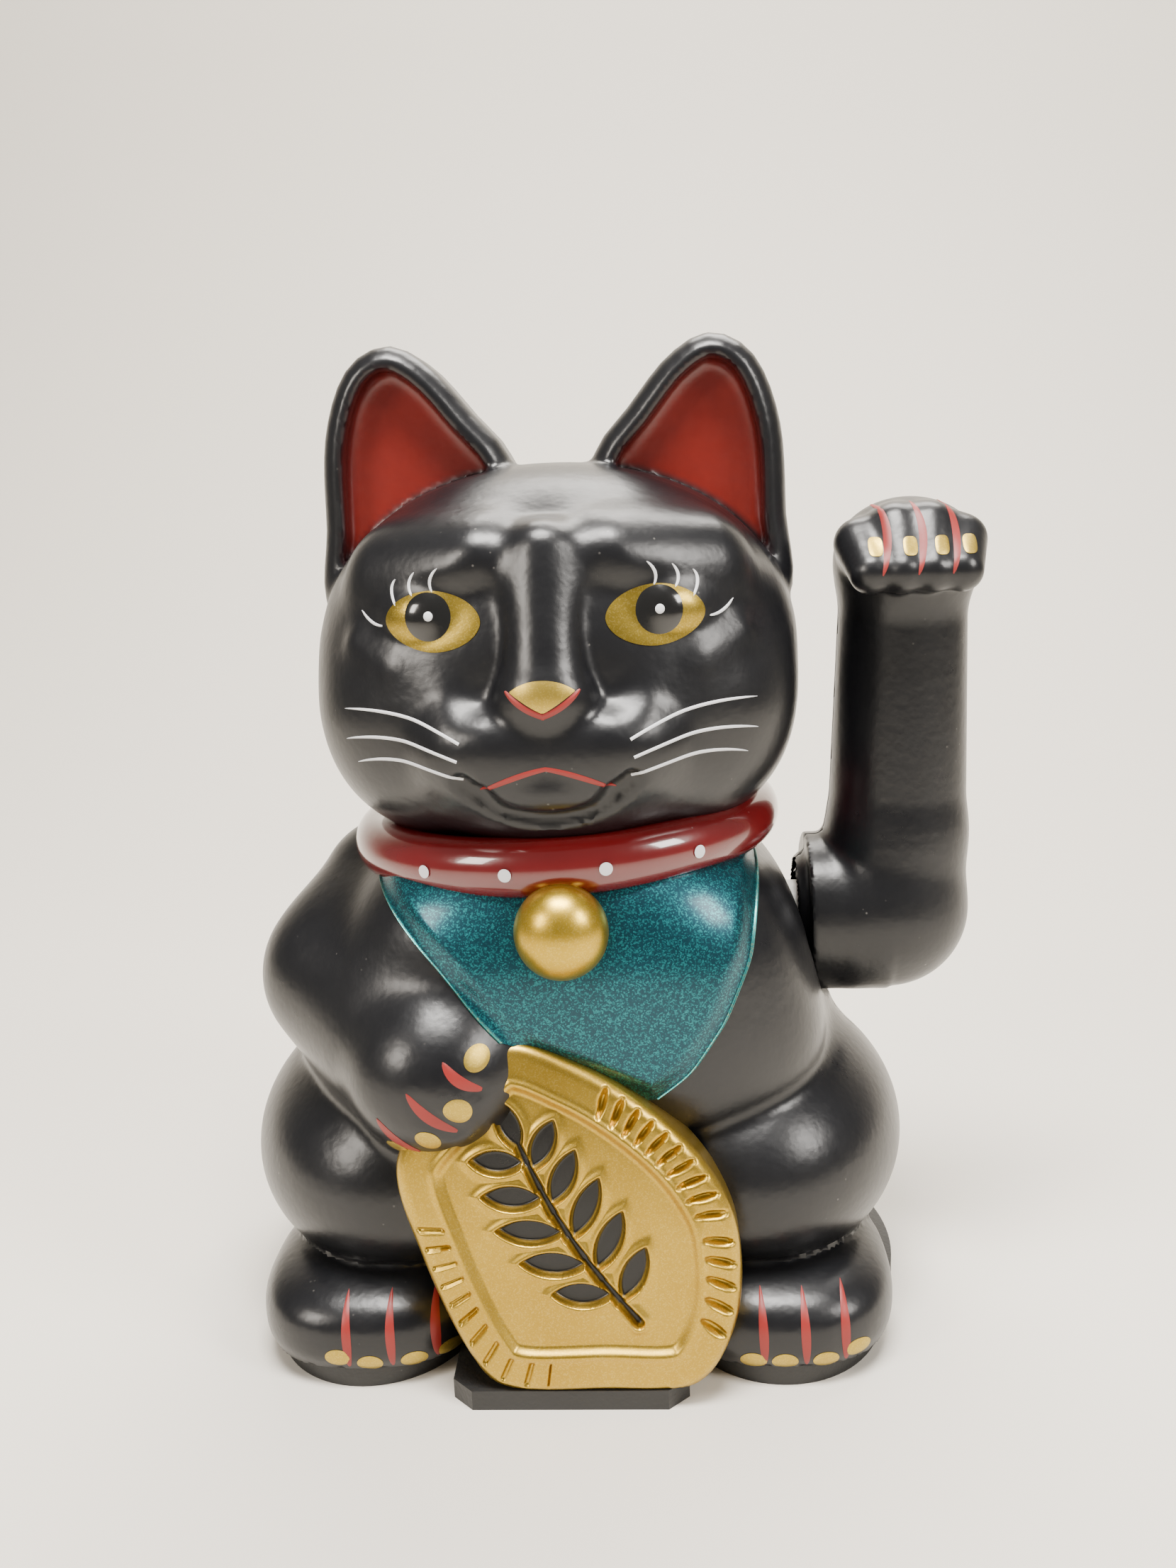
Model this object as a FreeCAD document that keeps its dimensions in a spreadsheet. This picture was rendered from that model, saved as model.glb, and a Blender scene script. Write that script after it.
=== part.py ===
import FreeCAD, Part
import Sketcher

import math
import os
import re

from FreeCAD import Placement, Rotation, Vector

# A beckoning cat that waves: a hollow figure moulded as a front and a rear shell on a flat base,
# and a raised arm that swings on a pendulum inside. A coil in the base kicks a magnet on it.
#
# Frame: millimetres, +Z up, the cat looks along -Y and raises the paw on its +X side. The origin
# is the middle of the flat underside of the base, straight below the middle of the head.

SIZES = {
    # mouldings
    "wall": 1.8, "arm_wall": 1.5, "seam_y": 4.0, "base_height": 3.0, "base_inset": 1.2,
    # head
    "cranium_rx": 35.4, "cranium_ry": 30.0, "cranium_rz": 26.5, "cranium_y": -1.5, "cranium_z": 105.8,
    "cheek_rx": 24.0, "cheek_ry": 26.5, "cheek_rz": 20.0,
    "cheek_x": 12.0, "cheek_y": -5.0, "cheek_drop": 8.8,
    "muzzle_rx": 13.0, "muzzle_ry": 11.0, "muzzle_rz": 10.5, "muzzle_y": -25.5, "muzzle_drop": 11.8,
    "ear_rx": 13.2, "ear_ry": 6.2, "ear_rz": 25.6, "ear_x": 22.4, "ear_y": 2.5, "ear_rise": 19.0,
    # trunk
    "neck_radius": 25.5, "neck_low_z": 66.0, "neck_sink": 13.8,
    "chest_rx": 37.0, "chest_ry": 32.5, "chest_rz": 25.0, "chest_y": 0.5, "chest_z": 59.0,
    "belly_rx": 41.5, "belly_ry": 36.0, "belly_rz": 34.0, "belly_y": 2.0, "belly_z": 37.0,
    "rump_rx": 46.0, "rump_ry": 36.0, "rump_rz": 30.0, "rump_y": 6.0, "rump_z": 14.0,
    "haunch_rx": 24.7, "haunch_ry": 32.0, "haunch_rz": 25.0,
    "haunch_x": 27.8, "haunch_y": -1.0, "haunch_z": 20.5,
    "foot_rx": 17.4, "foot_ry": 21.0, "foot_rz": 10.5, "foot_x": 31.0, "foot_y": -17.7, "foot_z": 5.5,
    # tail, curled against the back
    "tail_ring": 13.0, "tail_radius": 4.5, "tail_x": 14.0, "tail_y": 35.5, "tail_z": 16.0,
    # the arm that holds the coin
    "shoulder_rx": 14.0, "shoulder_ry": 17.0, "shoulder_rz": 18.0,
    "shoulder_x": -33.2, "shoulder_y": -4.0, "shoulder_z": 55.5,
    "forearm_rx": 21.5, "forearm_ry": 10.0, "forearm_rz": 11.2, "forearm_turn": 41.0,
    "forearm_x": -25.0, "forearm_y": -24.5, "forearm_z": 46.5,
    # coin, bell and collar
    "coin_rx": 22.1, "coin_rz": 28.9, "coin_x": 0.7, "coin_z": 25.5, "coin_face_y": -40.6,
    "coin_depth": 22.0, "coin_roll": -31.5, "coin_lean": 8.5, "coin_jut": 43.0, "jut_width": 28.0,
    "bell_radius": 7.0, "bell_y": -33.2, "bell_z": 68.3,
    "collar_ring": 29.4, "collar_radius": 4.2, "collar_y": -1.0, "collar_z": 76.4,
    # raised arm
    "pivot_z": 58.8, "arm_seat_x": 37.2, "arm_gap": 0.9, "arm_opening": 6.8,
    "stub_radius": 12.9, "elbow_rx": 13.2, "elbow_ry": 12.0, "elbow_rz": 15.2,
    "elbow_out": 14.0, "elbow_rise": 2.4,
    "limb_out": 16.4, "limb_low_radius": 10.7, "limb_high_radius": 9.0, "limb_rise": 3.2,
    "paw_rx": 11.5, "paw_ry": 12.5, "paw_rz": 9.2, "paw_y": 0.5, "paw_z": 116.4, "paw_overlap": 4.4,
    "rib_out": 7.8, "rib": 1.5,
    # axle and hub
    "axle_radius": 1.25, "axle_proud": 2.0, "running_fit": 0.05,
    "hub_radius": 5.0, "hub_gap": 0.8, "hub_grip": 5.7,
    # pendulum
    "lever_x": 12.0, "lever_width": 8.0, "lever_thickness": 3.0, "lever_hub_radius": 4.5,
    "lever_hub_length": 9.0, "lever_foot": 3.5,
    "weight_width": 17.0, "weight_depth": 10.0, "weight_height": 13.0,
    "magnet_radius": 4.6, "magnet_thickness": 3.0, "magnet_play": 2.3,
    # pivot frame
    "frame_left": -1.0, "frame_right": 25.0, "frame_plate": 2.5, "frame_depth": 13.0,
    "frame_floor": 1.4, "frame_head": 5.5, "frame_tab": 9.0,
    "bush_radius": 2.6, "bush_flange_radius": 3.6, "bush_flange": 0.8,
    # coil
    "coil_radius": 8.6, "coil_height": 8.8, "coil_flange": 1.0, "coil_barrel": 3.6,
    "coil_bore": 2.6, "winding_radius": 7.9,
    # circuit board
    "board_length": 30.0, "board_width": 15.0, "board_thickness": 1.2, "board_gap": 1.5,
    "board_lift": 4.0, "post_radius": 2.6, "post_inset": 3.5, "pilot_radius": 0.8,
    "chip_length": 8.0, "chip_width": 5.0, "chip_height": 2.0,
    "can_radius": 2.5, "can_height": 5.5, "can_out": 7.0, "can_forward": 4.0,
    "transistor_radius": 2.2, "transistor_height": 4.5, "transistor_out": 7.0, "transistor_back": 3.5,
    "resistor_radius": 1.0, "resistor_length": 7.0, "resistor_forward": 5.0,
    # battery and its bay
    "cell_radius": 7.1, "cell_length": 49.2, "cell_tip_radius": 2.75, "cell_tip": 1.3,
    "cell_play": 0.4, "cell_lift": 0.8, "bay_front": -22.7, "bay_gap": 4.3, "bay_relief": 0.4,
    "spring_room": 4.0, "bay_wall": 1.2, "contact_thickness": 0.5, "contact_width": 9.0, "contact_height": 11.0,
    "tab_width": 3.0, "tab_rise": 3.0,
    "spring_radius": 4.2, "spring_wire": 0.45, "spring_turns": 2.5,
    # battery door
    "door_thickness": 1.4, "door_lift": 0.3, "door_play": 0.35, "door_border": 1.6,
    "door_pin_radius": 0.45, "door_pin_length": 1.0,
    # screws
    "screw_radius": 1.2, "screw_head": 2.3, "screw_head_height": 1.5, "screw_length": 8.0,
    "boss_radius": 3.2, "boss_height": 12.0, "web": 1.6,
    "boss_front_x": 36.0, "boss_front_y": -22.0, "boss_rear_x": 34.0, "boss_rear_y": 22.0,
    # locating pins across the seam
    "pin_radius": 1.3, "pin_length": 3.0, "pin_play": 0.1, "lug_radius": 3.0, "lug_length": 5.0,
    # wires
    "wire_radius": 0.55, "solder_inset": 2.0, "coil_lead_spread": 3.0, "coil_lead_stub": 3.0,
}

doc = FreeCAD.newDocument("beckoning_cat")
sheet = doc.addObject("Spreadsheet::Sheet", "sizes")
for row, (alias, number) in enumerate(SIZES.items(), start=1):
    sheet.set(f"A{row}", alias)
    sheet.set(f"B{row}", str(number))
    sheet.setAlias(f"B{row}", alias)
doc.recompute()


# ---- working with the sheet ----

def formula(text):
    """The text with each size's name pointing at its cell of the sheet."""
    return re.sub(r"[a-z_]+", lambda word: f"sizes.{word[0]}" if word[0] in SIZES else word[0], str(text))


def value(alias):
    """One size as a plain number, for the few pieces whose shape is set directly."""
    return float(sheet.get(alias))


def number(text):
    """The value of a formula that only adds and takes away."""
    total, sign = 0.0, 1
    for word in text.split():
        if word in ("+", "-"):
            sign = 1 if word == "+" else -1
        else:
            total += sign * (value(word) if word in SIZES else float(word))
    return total


def bind(item, **formulas):
    for prop, text in formulas.items():
        item.setExpression(prop, formula(text))
    return item


def about(axis, degrees):
    return Rotation(Vector(*axis), degrees)


X, Y, Z = (1, 0, 0), (0, 1, 0), (0, 0, 1)

# An eighth of a turn keeps the joining line of a round face off the plane that splits it.
OFF_SEAM = about(Z, 45)
TO_X = about(Y, 90) * OFF_SEAM
TO_Y = about(X, -90) * OFF_SEAM
TO_FRONT = about(X, 90)
JOINING_LINES = {"right": Rotation(), "left": about(Z, 180), "below": about(Z, 90)}


def put(item, at=(0, 0, 0), turn=OFF_SEAM):
    """Place an object at a point given by formulas."""
    item.Placement = Placement(Vector(), turn)
    for letter, text in zip("xyz", at):
        item.setExpression(f"Placement.Base.{letter}", formula(text))
    return item


def solid(kind, name, at=(0, 0, 0), turn=OFF_SEAM, **formulas):
    return put(bind(doc.addObject(f"Part::{kind}", name), **formulas), at, turn)


def cylinder(name, radius, height, at, turn=OFF_SEAM):
    return solid("Cylinder", name, at, turn, Radius=radius, Height=height)


def along_x(name, radius, start, end, y, z):
    """A cylinder that runs along X from start to end."""
    return cylinder(name, radius, f"({end}) - ({start})", (start, y, z), TO_X)


def along_y(name, radius, start, end, x, z):
    """A cylinder that runs along Y from start to end."""
    return cylinder(name, radius, f"({end}) - ({start})", (x, start, z), TO_Y)


def block(name, low, high):
    """A box between two corners given by formulas."""
    spans = [f"({b}) - ({a})" for a, b in zip(low, high)]
    return solid("Box", name, low, Rotation(), Length=spans[0], Width=spans[1], Height=spans[2])


def ellipsoid(name, radii, centre, turn=Rotation(), line="below"):
    """An ellipsoid with its poles front and back, and its joining line on the side asked for."""
    across, deep, tall = radii
    if line == "below":
        across, tall = tall, across
    turn = turn * TO_FRONT * JOINING_LINES[line]
    return solid("Ellipsoid", name, centre, turn, Radius2=across, Radius3=tall, Radius1=deep)


def oval(name, radius_x, radius_y, height, at, wide):
    """An upright oval slab; wide says whether its longer radius is the one along X."""
    radii = {"MajorRadius": radius_x, "MinorRadius": radius_y}
    if not wide:
        radii = {"MajorRadius": radius_y, "MinorRadius": radius_x}
    rim = solid("Ellipse", f"{name}_rim", at, Rotation() if wide else about(Z, 90), **radii)
    slab = doc.addObject("Part::Extrusion", name)
    slab.Base = rim
    slab.DirMode = "Normal"
    slab.Solid = True
    return bind(slab, LengthFwd=height)


def mass(name, label, centre, less, turn=Rotation(), line="below"):
    """One rounded mass, whose three radii in the sheet are made less by a formula."""
    radii = [f"{name}_{letter} - {less}" for letter in ("rx", "ry", "rz")]
    return ellipsoid(label, radii, centre, turn, line)


def boolean(kind, name, **operands):
    """A boolean of document objects that keeps every face as it is cut."""
    result = doc.addObject(f"Part::{kind}", name)
    for prop, operand in operands.items():
        setattr(result, prop, operand)
    result.Refine = False
    return result


def fuse(name, items):
    return boolean("MultiFuse", name, Shapes=items)


def common(name, first, second):
    return boolean("MultiCommon", name, Shapes=[first, second])


def cut(name, base, tools):
    """The base less all the tools."""
    tool = tools[0] if len(tools) == 1 else fuse(f"{name}_tools", tools)
    return boolean("Cut", name, Base=base, Tool=tool)


# ---- PartDesign bodies ----

def outline(body, name, plane, points, offset="0"):
    """A closed sketch of straight lines whose corners are held to formulas."""
    sketch = body.newObject("Sketcher::SketchObject", name)
    support = [face for face in body.Origin.OriginFeatures if face.Role == f"{plane}_Plane"]
    sketch.AttachmentSupport = [(support[0], "")]
    sketch.MapMode = "FlatFace"
    bind(sketch, **{"AttachmentOffset.Base.z": offset})
    count = len(points)
    turns = [2 * math.pi * corner / count for corner in range(count + 1)]
    rough = [Vector(10 * math.cos(turn), 10 * math.sin(turn), 0) for turn in turns]
    for start, end in zip(rough, rough[1:]):
        sketch.addGeometry(Part.LineSegment(start, end))
    for corner in range(count):
        after = (corner + 1) % count
        sketch.addConstraint(Sketcher.Constraint("Coincident", corner, 2, after, 1))
    for corner, point in enumerate(points):
        for direction, text in zip(("DistanceX", "DistanceY"), point):
            held = sketch.addConstraint(Sketcher.Constraint(direction, -1, 1, corner, 1, 1.0))
            sketch.setExpression(f"Constraints[{held}]", formula(text))
    return sketch


def rings(body, name, plane, circles, offset="0"):
    """A sketch of circles, each given as x, y and radius formulas."""
    sketch = body.newObject("Sketcher::SketchObject", name)
    support = [face for face in body.Origin.OriginFeatures if face.Role == f"{plane}_Plane"]
    sketch.AttachmentSupport = [(support[0], "")]
    sketch.MapMode = "FlatFace"
    bind(sketch, **{"AttachmentOffset.Base.z": offset})
    for index, (across, up, radius) in enumerate(circles):
        rough = Vector(9.0 * index + 1, 1, 0)
        sketch.addGeometry(Part.Circle(rough, Vector(0, 0, 1), 2))
        held = [
            (Sketcher.Constraint("DistanceX", -1, 1, index, 3, rough.x), across),
            (Sketcher.Constraint("DistanceY", -1, 1, index, 3, rough.y), up),
            (Sketcher.Constraint("Radius", index, 2.0), radius),
        ]
        for constraint, text in held:
            number = sketch.addConstraint(constraint)
            sketch.setExpression(f"Constraints[{number}]", formula(text))
    return sketch


def rectangle(low, high):
    return [(low[0], low[1]), (high[0], low[1]), (high[0], high[1]), (low[0], high[1])]


def pad(body, name, sketch, length):
    feature = body.newObject("PartDesign::Pad", name)
    feature.Profile = sketch
    return bind(feature, Length=length)


def drill(body, name, sketch):
    """A pocket right through the body, both ways from the sketch's plane."""
    feature = body.newObject("PartDesign::Pocket", name)
    feature.Profile = sketch
    feature.Type = "ThroughAll"
    feature.Midplane = True
    return feature


def turned(name, points, at, turn=OFF_SEAM):
    """A body turned about its own Z axis from a half outline of (radius, height) corners."""
    body = doc.addObject("PartDesign::Body", name)
    feature = body.newObject("PartDesign::Revolution", f"{name}_turned")
    sketch = outline(body, f"{name}_outline", "XZ", points)
    feature.Profile = sketch
    feature.ReferenceAxis = (sketch, ["V_Axis"])
    return put(body, at, turn)


# Places that follow from the sizes above, as formulas.
NECK_HIGH_Z = "cranium_z - neck_sink"
ARM_START = "arm_seat_x + arm_gap"
ELBOW_X, LIMB_X, RIB_X = "arm_seat_x + elbow_out", "arm_seat_x + limb_out", "arm_seat_x + rib_out"
LIMB_LOW_Z, LIMB_HIGH_Z = "pivot_z + limb_rise", "paw_z - paw_overlap"
HUB_START, HUB_END = "frame_right + frame_plate + hub_gap", f"{RIB_X} + rib"
AXLE_START, AXLE_END = "frame_left - frame_plate - axle_proud", f"{HUB_START} + hub_grip"
COIL_TOP_Z = "base_height + frame_floor + coil_height"
WEIGHT_Z = f"{COIL_TOP_Z} + magnet_play + magnet_thickness"
LEVER_FOOT_Z = f"{WEIGHT_Z} + lever_foot"
BOARD_Y = "seam_y - frame_depth / 2 - frame_tab - board_gap - board_width / 2"
BOARD_TOP_Z = "base_height + board_lift + board_thickness"
CELL_X = "frame_left - frame_plate - bay_gap - bay_wall - cell_play - cell_radius"
CELL_Z = "door_lift + door_thickness + cell_lift + cell_radius"
CELL_END = "bay_front + contact_thickness + cell_tip + cell_length"
BAY_REAR = f"{CELL_END} + spring_room + contact_thickness"
BAY_LEFT = f"{CELL_X} - cell_radius - cell_play"
BAY_RIGHT = f"{CELL_X} + cell_radius + cell_play"
BAY_TOP = f"{CELL_Z} + cell_radius + cell_play"
CONTACTS = {"front": "bay_front", "rear": f"{BAY_REAR} - contact_thickness"}

sub_parts = []


def publish(item, label):
    item.Label = label
    sub_parts.append(item)
    return item


# ---- the figure: rounded masses, hollowed, then split at the seam ----

BOTH_SIDES = (("left", "-1"), ("right", "1"))


def masses(label, less):
    """Every hollow mass of the figure, with its radii less by a formula."""
    items = []
    heights = {
        "muzzle": "cranium_z - muzzle_drop",
        "cheek": "cranium_z - cheek_drop",
        "ear": "cranium_z + ear_rise",
    }
    for name in ("cranium", "muzzle", "chest", "belly", "rump"):
        centre = ("0", f"{name}_y", heights.get(name, f"{name}_z"))
        items.append(mass(name, f"{name}_{label}", centre, less))
    for name in ("cheek", "ear", "haunch", "foot"):
        for side, sign in BOTH_SIDES:
            centre = (f"{sign} * {name}_x", f"{name}_y", heights.get(name, f"{name}_z"))
            inner = "left" if side == "right" else "right"
            items.append(mass(name, f"{name}_{side}_{label}", centre, less, line=inner))
    shoulder = ("shoulder_x", "shoulder_y", "shoulder_z")
    items.append(mass("shoulder", f"shoulder_{label}", shoulder, less))
    forearm = ("forearm_x", "forearm_y", "forearm_z")
    items.append(mass("forearm", f"forearm_{label}", forearm, less, about(Z, -value("forearm_turn"))))
    return items


def neck(label, less):
    at = ("0", "collar_y", "neck_low_z")
    return cylinder(f"neck_{label}", f"neck_radius - {less}", f"{NECK_HIGH_Z} - neck_low_z", at)


def coin(label, less):
    """An oval coin that leans back and rolls to one side, its back buried in the belly."""
    wide = value("coin_rx") > value("coin_rz")
    sizes = [f"{size} - {less}" for size in ("coin_rx", "coin_rz", "coin_depth")]
    disc = oval(f"coin_{label}", *sizes, (0, 0, 0), wide)
    group = doc.addObject("Part::Compound", f"coin_{label}_placed")
    group.Links = [disc]
    tilt = about(X, -value("coin_lean")) * about(Y, value("coin_roll")) * about(X, -90)
    return put(group, ("coin_x", f"coin_face_y + {less}", "coin_z"), tilt)


def lugs():
    """Round lugs inside the seam, one pair on the head and one on the haunches, as x and z."""
    head_x = "(cranium_rx - wall - lug_radius / 2)"
    hip_x = "(haunch_x + haunch_rx - wall - lug_radius / 2)"
    spots = {"head": (head_x, "cranium_z"), "hip": (hip_x, "haunch_z")}
    return {
        f"{place}_{side}": (f"{sign} * {x}", z)
        for place, (x, z) in spots.items()
        for side, sign in BOTH_SIDES
    }


def figure_inside(trim):
    """Bosses, webs and lugs inside the shells, trimmed to the figure's outside."""
    items = []
    for side, sign in BOTH_SIDES:
        for end in ("front", "rear"):
            x, y = f"{sign} * boss_{end}_x", f"boss_{end}_y"
            items.append(cylinder(f"boss_{end}_{side}", "boss_radius", "boss_height", (x, y, "base_height")))
            reach = "haunch_rx" if end == "rear" else "foot_rx"
            low = (x, f"{y} - web / 2", "base_height")
            high = (f"{sign} * (boss_{end}_x + {reach})", f"{y} + web / 2", "base_height + boss_height")
            if side == "left":
                low, high = (high[0], low[1], low[2]), (low[0], high[1], high[2])
            items.append(block(f"web_{end}_{side}", low, high))
    for spot, (x, z) in lugs().items():
        items.append(along_y(f"lug_{spot}", "lug_radius", "seam_y - lug_length", "seam_y + lug_length", x, z))
    seat = ("arm_seat_x - wall", "arm_seat_x", "seam_y", "pivot_z")
    items.append(along_x("seat_disc_inside", "stub_radius + arm_gap + wall", *seat))
    return common("figure_fittings", fuse("figure_fittings_all", items), trim)


def figure():
    """The whole moulded figure before it is split, open underneath."""
    add_ons = [
        coin("outer", "0"),
        solid("Sphere", "bell", ("0", "bell_y", "bell_z"), Radius="bell_radius"),
        solid("Torus", "collar", ("0", "collar_y", "collar_z"),
              Radius1="collar_ring", Radius2="collar_radius"),
        solid("Torus", "tail", ("tail_x", "tail_y", "tail_z"), TO_FRONT,
              Radius1="tail_ring", Radius2="tail_radius"),
    ]
    outside = fuse("figure_outside", masses("outer", "0") + [neck("outer", "0")])
    hollow = fuse("figure_hollow", masses("inner", "wall") + [neck("inner", "wall"), coin("inner", "wall")])
    skin = cut("figure_skin", fuse("figure_solid", [outside] + add_ons), [hollow])
    seat = ("arm_seat_x - wall", "arm_seat_x", "seam_y", "pivot_z")
    rim = along_x("seat_disc", "stub_radius + arm_gap + wall", *seat)
    whole = fuse("figure_whole", [skin, figure_inside(outside), rim])
    room = ("arm_seat_x", "arm_seat_x + stub_radius + elbow_rx", "seam_y", "pivot_z")
    tools = [
        along_x("arm_room", "stub_radius + arm_gap", *room),
        along_x("arm_hole", "arm_opening", "arm_seat_x - 2 * wall", "arm_seat_x + wall", "seam_y", "pivot_z"),
        block("below_base", ("-2 * belly_rx", "-2 * belly_ry", "-1 * belly_rz"),
              ("2 * belly_rx", "2 * belly_ry", "base_height")),
    ]
    around = "bay_wall + bay_relief"
    low = (f"{BAY_LEFT} - ({around})", f"bay_front - ({around})", "-1 * base_height")
    high = (f"{BAY_RIGHT} + {around}", f"{BAY_REAR} + {around}", f"{BAY_TOP} + {around}")
    tools.append(block("bay_relief_room", low, high))
    for side, sign in BOTH_SIDES:
        for end in ("front", "rear"):
            at = (f"{sign} * boss_{end}_x", f"boss_{end}_y", "0")
            tools.append(cylinder(f"pilot_{end}_{side}", "pilot_radius", "base_height + screw_length", at))
    return cut("figure_body", whole, tools)


def half(name, whole, side):
    """The part of a moulding in front of the seam or behind it, with the other part cut away."""
    low = ("-3 * belly_rx", "-3 * belly_ry", "-1 * belly_rz")
    high = ("3 * belly_rx", "3 * belly_ry", "2 * cranium_z")
    if side == "front":
        other = block(f"{name}_other", (low[0], "seam_y", low[2]), high)
    else:
        other = block(f"{name}_other", low, (high[0], "seam_y", high[2]))
    return cut(name, whole, [other])


def shells():
    whole = figure()
    front, rear = half("front_half", whole, "front"), half("rear_half", whole, "rear")
    pins, sockets = [], []
    for spot, (x, z) in lugs().items():
        end = "seam_y + pin_length"
        pins.append(along_y(f"pin_{spot}", "pin_radius", "seam_y - pin_length", end, x, z))
        loose = ("pin_radius + pin_play", "seam_y - pin_length", f"{end} + pin_play")
        sockets.append(along_y(f"socket_{spot}", *loose, x, z))
    publish(fuse("front_with_pins", [front] + pins), "front_shell")
    publish(cut("rear_with_sockets", rear, sockets), "rear_shell")


# ---- the raised arm, in two halves on a hub ----

def arm_masses(label, less, start):
    """The arm's stub, elbow, limb and paw, with every radius less by a formula."""
    limb = solid("Cone", f"limb_{label}", (LIMB_X, "seam_y", LIMB_LOW_Z),
                 Radius1=f"limb_low_radius - {less}", Radius2=f"limb_high_radius - {less}",
                 Height=f"{LIMB_HIGH_Z} - ({LIMB_LOW_Z})")
    return [
        along_x(f"stub_{label}", f"stub_radius - {less}", start, ELBOW_X, "seam_y", "pivot_z"),
        mass("elbow", f"elbow_{label}", (ELBOW_X, "seam_y", "pivot_z + elbow_rise"), less),
        limb,
        mass("paw", f"paw_{label}", (LIMB_X, "paw_y", "paw_z"), less),
    ]


def raised_arm():
    outside = fuse("arm_outside", arm_masses("outer", "0", ARM_START))
    hollow = fuse("arm_hollow", arm_masses("inner", "arm_wall", f"{ARM_START} + arm_wall"))
    rib = along_x("arm_rib", "stub_radius - arm_wall / 2", RIB_X, HUB_END, "seam_y", "pivot_z")
    bore = along_x("arm_bore", "hub_radius", "arm_seat_x", HUB_END, "seam_y", "pivot_z")
    skin = cut("arm_skin", outside, [hollow])
    whole = cut("arm_body", fuse("arm_ribbed", [skin, rib]), [bore])
    for side in ("front", "rear"):
        publish(half(f"arm_{side}_half", whole, side), f"arm_{side}_shell")


def axle_and_hub():
    pin = along_x("axle_pin", "axle_radius", AXLE_START, AXLE_END, "seam_y", "pivot_z")
    publish(pin, "pivot_axle")
    peg = along_x("hub_peg", "hub_radius", HUB_START, HUB_END, "seam_y", "pivot_z")
    bore = along_x("hub_bore", "axle_radius", HUB_START, AXLE_END, "seam_y", "pivot_z")
    publish(cut("hub_bored", peg, [bore]), "arm_hub")


# ---- pendulum ----

def pendulum():
    low, high = "lever_x - lever_thickness / 2", "lever_x + lever_thickness / 2"
    blade = block("lever_blade", (low, "seam_y - lever_width / 2", LEVER_FOOT_Z),
                  (high, "seam_y + lever_width / 2", "pivot_z"))
    ends = ("lever_x - lever_hub_length / 2", "lever_x + lever_hub_length / 2", "seam_y", "pivot_z")
    hub = along_x("lever_hub", "lever_hub_radius", *ends)
    bore = along_x("lever_bore", "axle_radius", *ends)
    publish(cut("lever_bored", fuse("lever_solid", [blade, hub]), [bore]), "pendulum_lever")

    weight_low = ("lever_x - weight_width / 2", "seam_y - weight_depth / 2", WEIGHT_Z)
    weight_high = ("lever_x + weight_width / 2", "seam_y + weight_depth / 2", f"{WEIGHT_Z} + weight_height")
    lump = block("weight_block", weight_low, weight_high)
    slot = block("weight_slot", (low, "seam_y - lever_width / 2", LEVER_FOOT_Z),
                 (high, "seam_y + lever_width / 2", "pivot_z"))
    publish(cut("weight_slotted", lump, [slot]), "counterweight")
    magnet = cylinder("magnet_disc", "magnet_radius", "magnet_thickness",
                      ("lever_x", "seam_y", f"{WEIGHT_Z} - magnet_thickness"))
    publish(magnet, "pendulum_magnet")


# ---- pivot frame, bushes and coil ----

def pivot_frame():
    """A floor plate with two uprights that carry the bushes, and a screw tab at each end."""
    near, far = "seam_y - frame_depth / 2", "seam_y + frame_depth / 2"
    top = "pivot_z + frame_head"
    left = block("upright_left", ("frame_left - frame_plate", near, "base_height"),
                 ("frame_left", far, top))
    right = block("upright_right", ("frame_right", near, "base_height"),
                  ("frame_right + frame_plate", far, top))
    floor = block("frame_floor_plate", ("frame_left - frame_plate", f"{near} - frame_tab", "base_height"),
                  ("frame_right + frame_plate", f"{far} + frame_tab", "base_height + frame_floor"))
    holes = []
    for side, x in (("left", "frame_left - frame_plate"), ("right", "frame_right")):
        seat = (x, f"{x} + frame_plate", "seam_y", "pivot_z")
        holes.append(along_x(f"bush_seat_{side}", "bush_radius", *seat))
    for spot, at in frame_screw_spots().items():
        holes.append(cylinder(f"frame_hole_{spot}", "screw_radius", "frame_floor", (*at, "base_height")))
    publish(cut("frame_drilled", fuse("frame_solid", [left, right, floor]), holes), "pivot_frame")


def frame_screw_spots():
    """Centres of the two screws in the frame's tabs, as x and y."""
    front = "seam_y - frame_depth / 2 - frame_tab / 2"
    rear = "seam_y + frame_depth / 2 + frame_tab / 2"
    return {"front": ("frame_right - frame_plate", front), "rear": ("lever_x", rear)}


def bushes():
    """Flanged bushes pressed into the uprights from inside the frame."""
    profile = [
        ("axle_radius + running_fit", "-1 * bush_flange"),
        ("bush_flange_radius", "-1 * bush_flange"),
        ("bush_flange_radius", "0"),
        ("bush_radius", "0"),
        ("bush_radius", "frame_plate"),
        ("axle_radius + running_fit", "frame_plate"),
    ]
    left = turned("bush_left", profile, ("frame_left", "seam_y", "pivot_z"), about(Y, -90))
    right = turned("bush_right", profile, ("frame_right", "seam_y", "pivot_z"), TO_X)
    publish(left, "bearing_bush_left")
    publish(right, "bearing_bush_right")


def coil():
    """A bobbin on the frame's floor below the magnet, and its winding."""
    at = ("lever_x", "seam_y", "base_height + frame_floor")
    profile = [
        ("coil_bore", "0"), ("coil_radius", "0"), ("coil_radius", "coil_flange"),
        ("coil_barrel", "coil_flange"), ("coil_barrel", "coil_height - coil_flange"),
        ("coil_radius", "coil_height - coil_flange"), ("coil_radius", "coil_height"),
        ("coil_bore", "coil_height"),
    ]
    publish(turned("bobbin", profile, at), "coil_bobbin")
    wound = [
        ("coil_barrel", "coil_flange"), ("winding_radius", "coil_flange"),
        ("winding_radius", "coil_height - coil_flange"), ("coil_barrel", "coil_height - coil_flange"),
    ]
    publish(turned("winding", wound, at), "coil_winding")


# ---- base plate, battery bay and door ----

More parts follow.
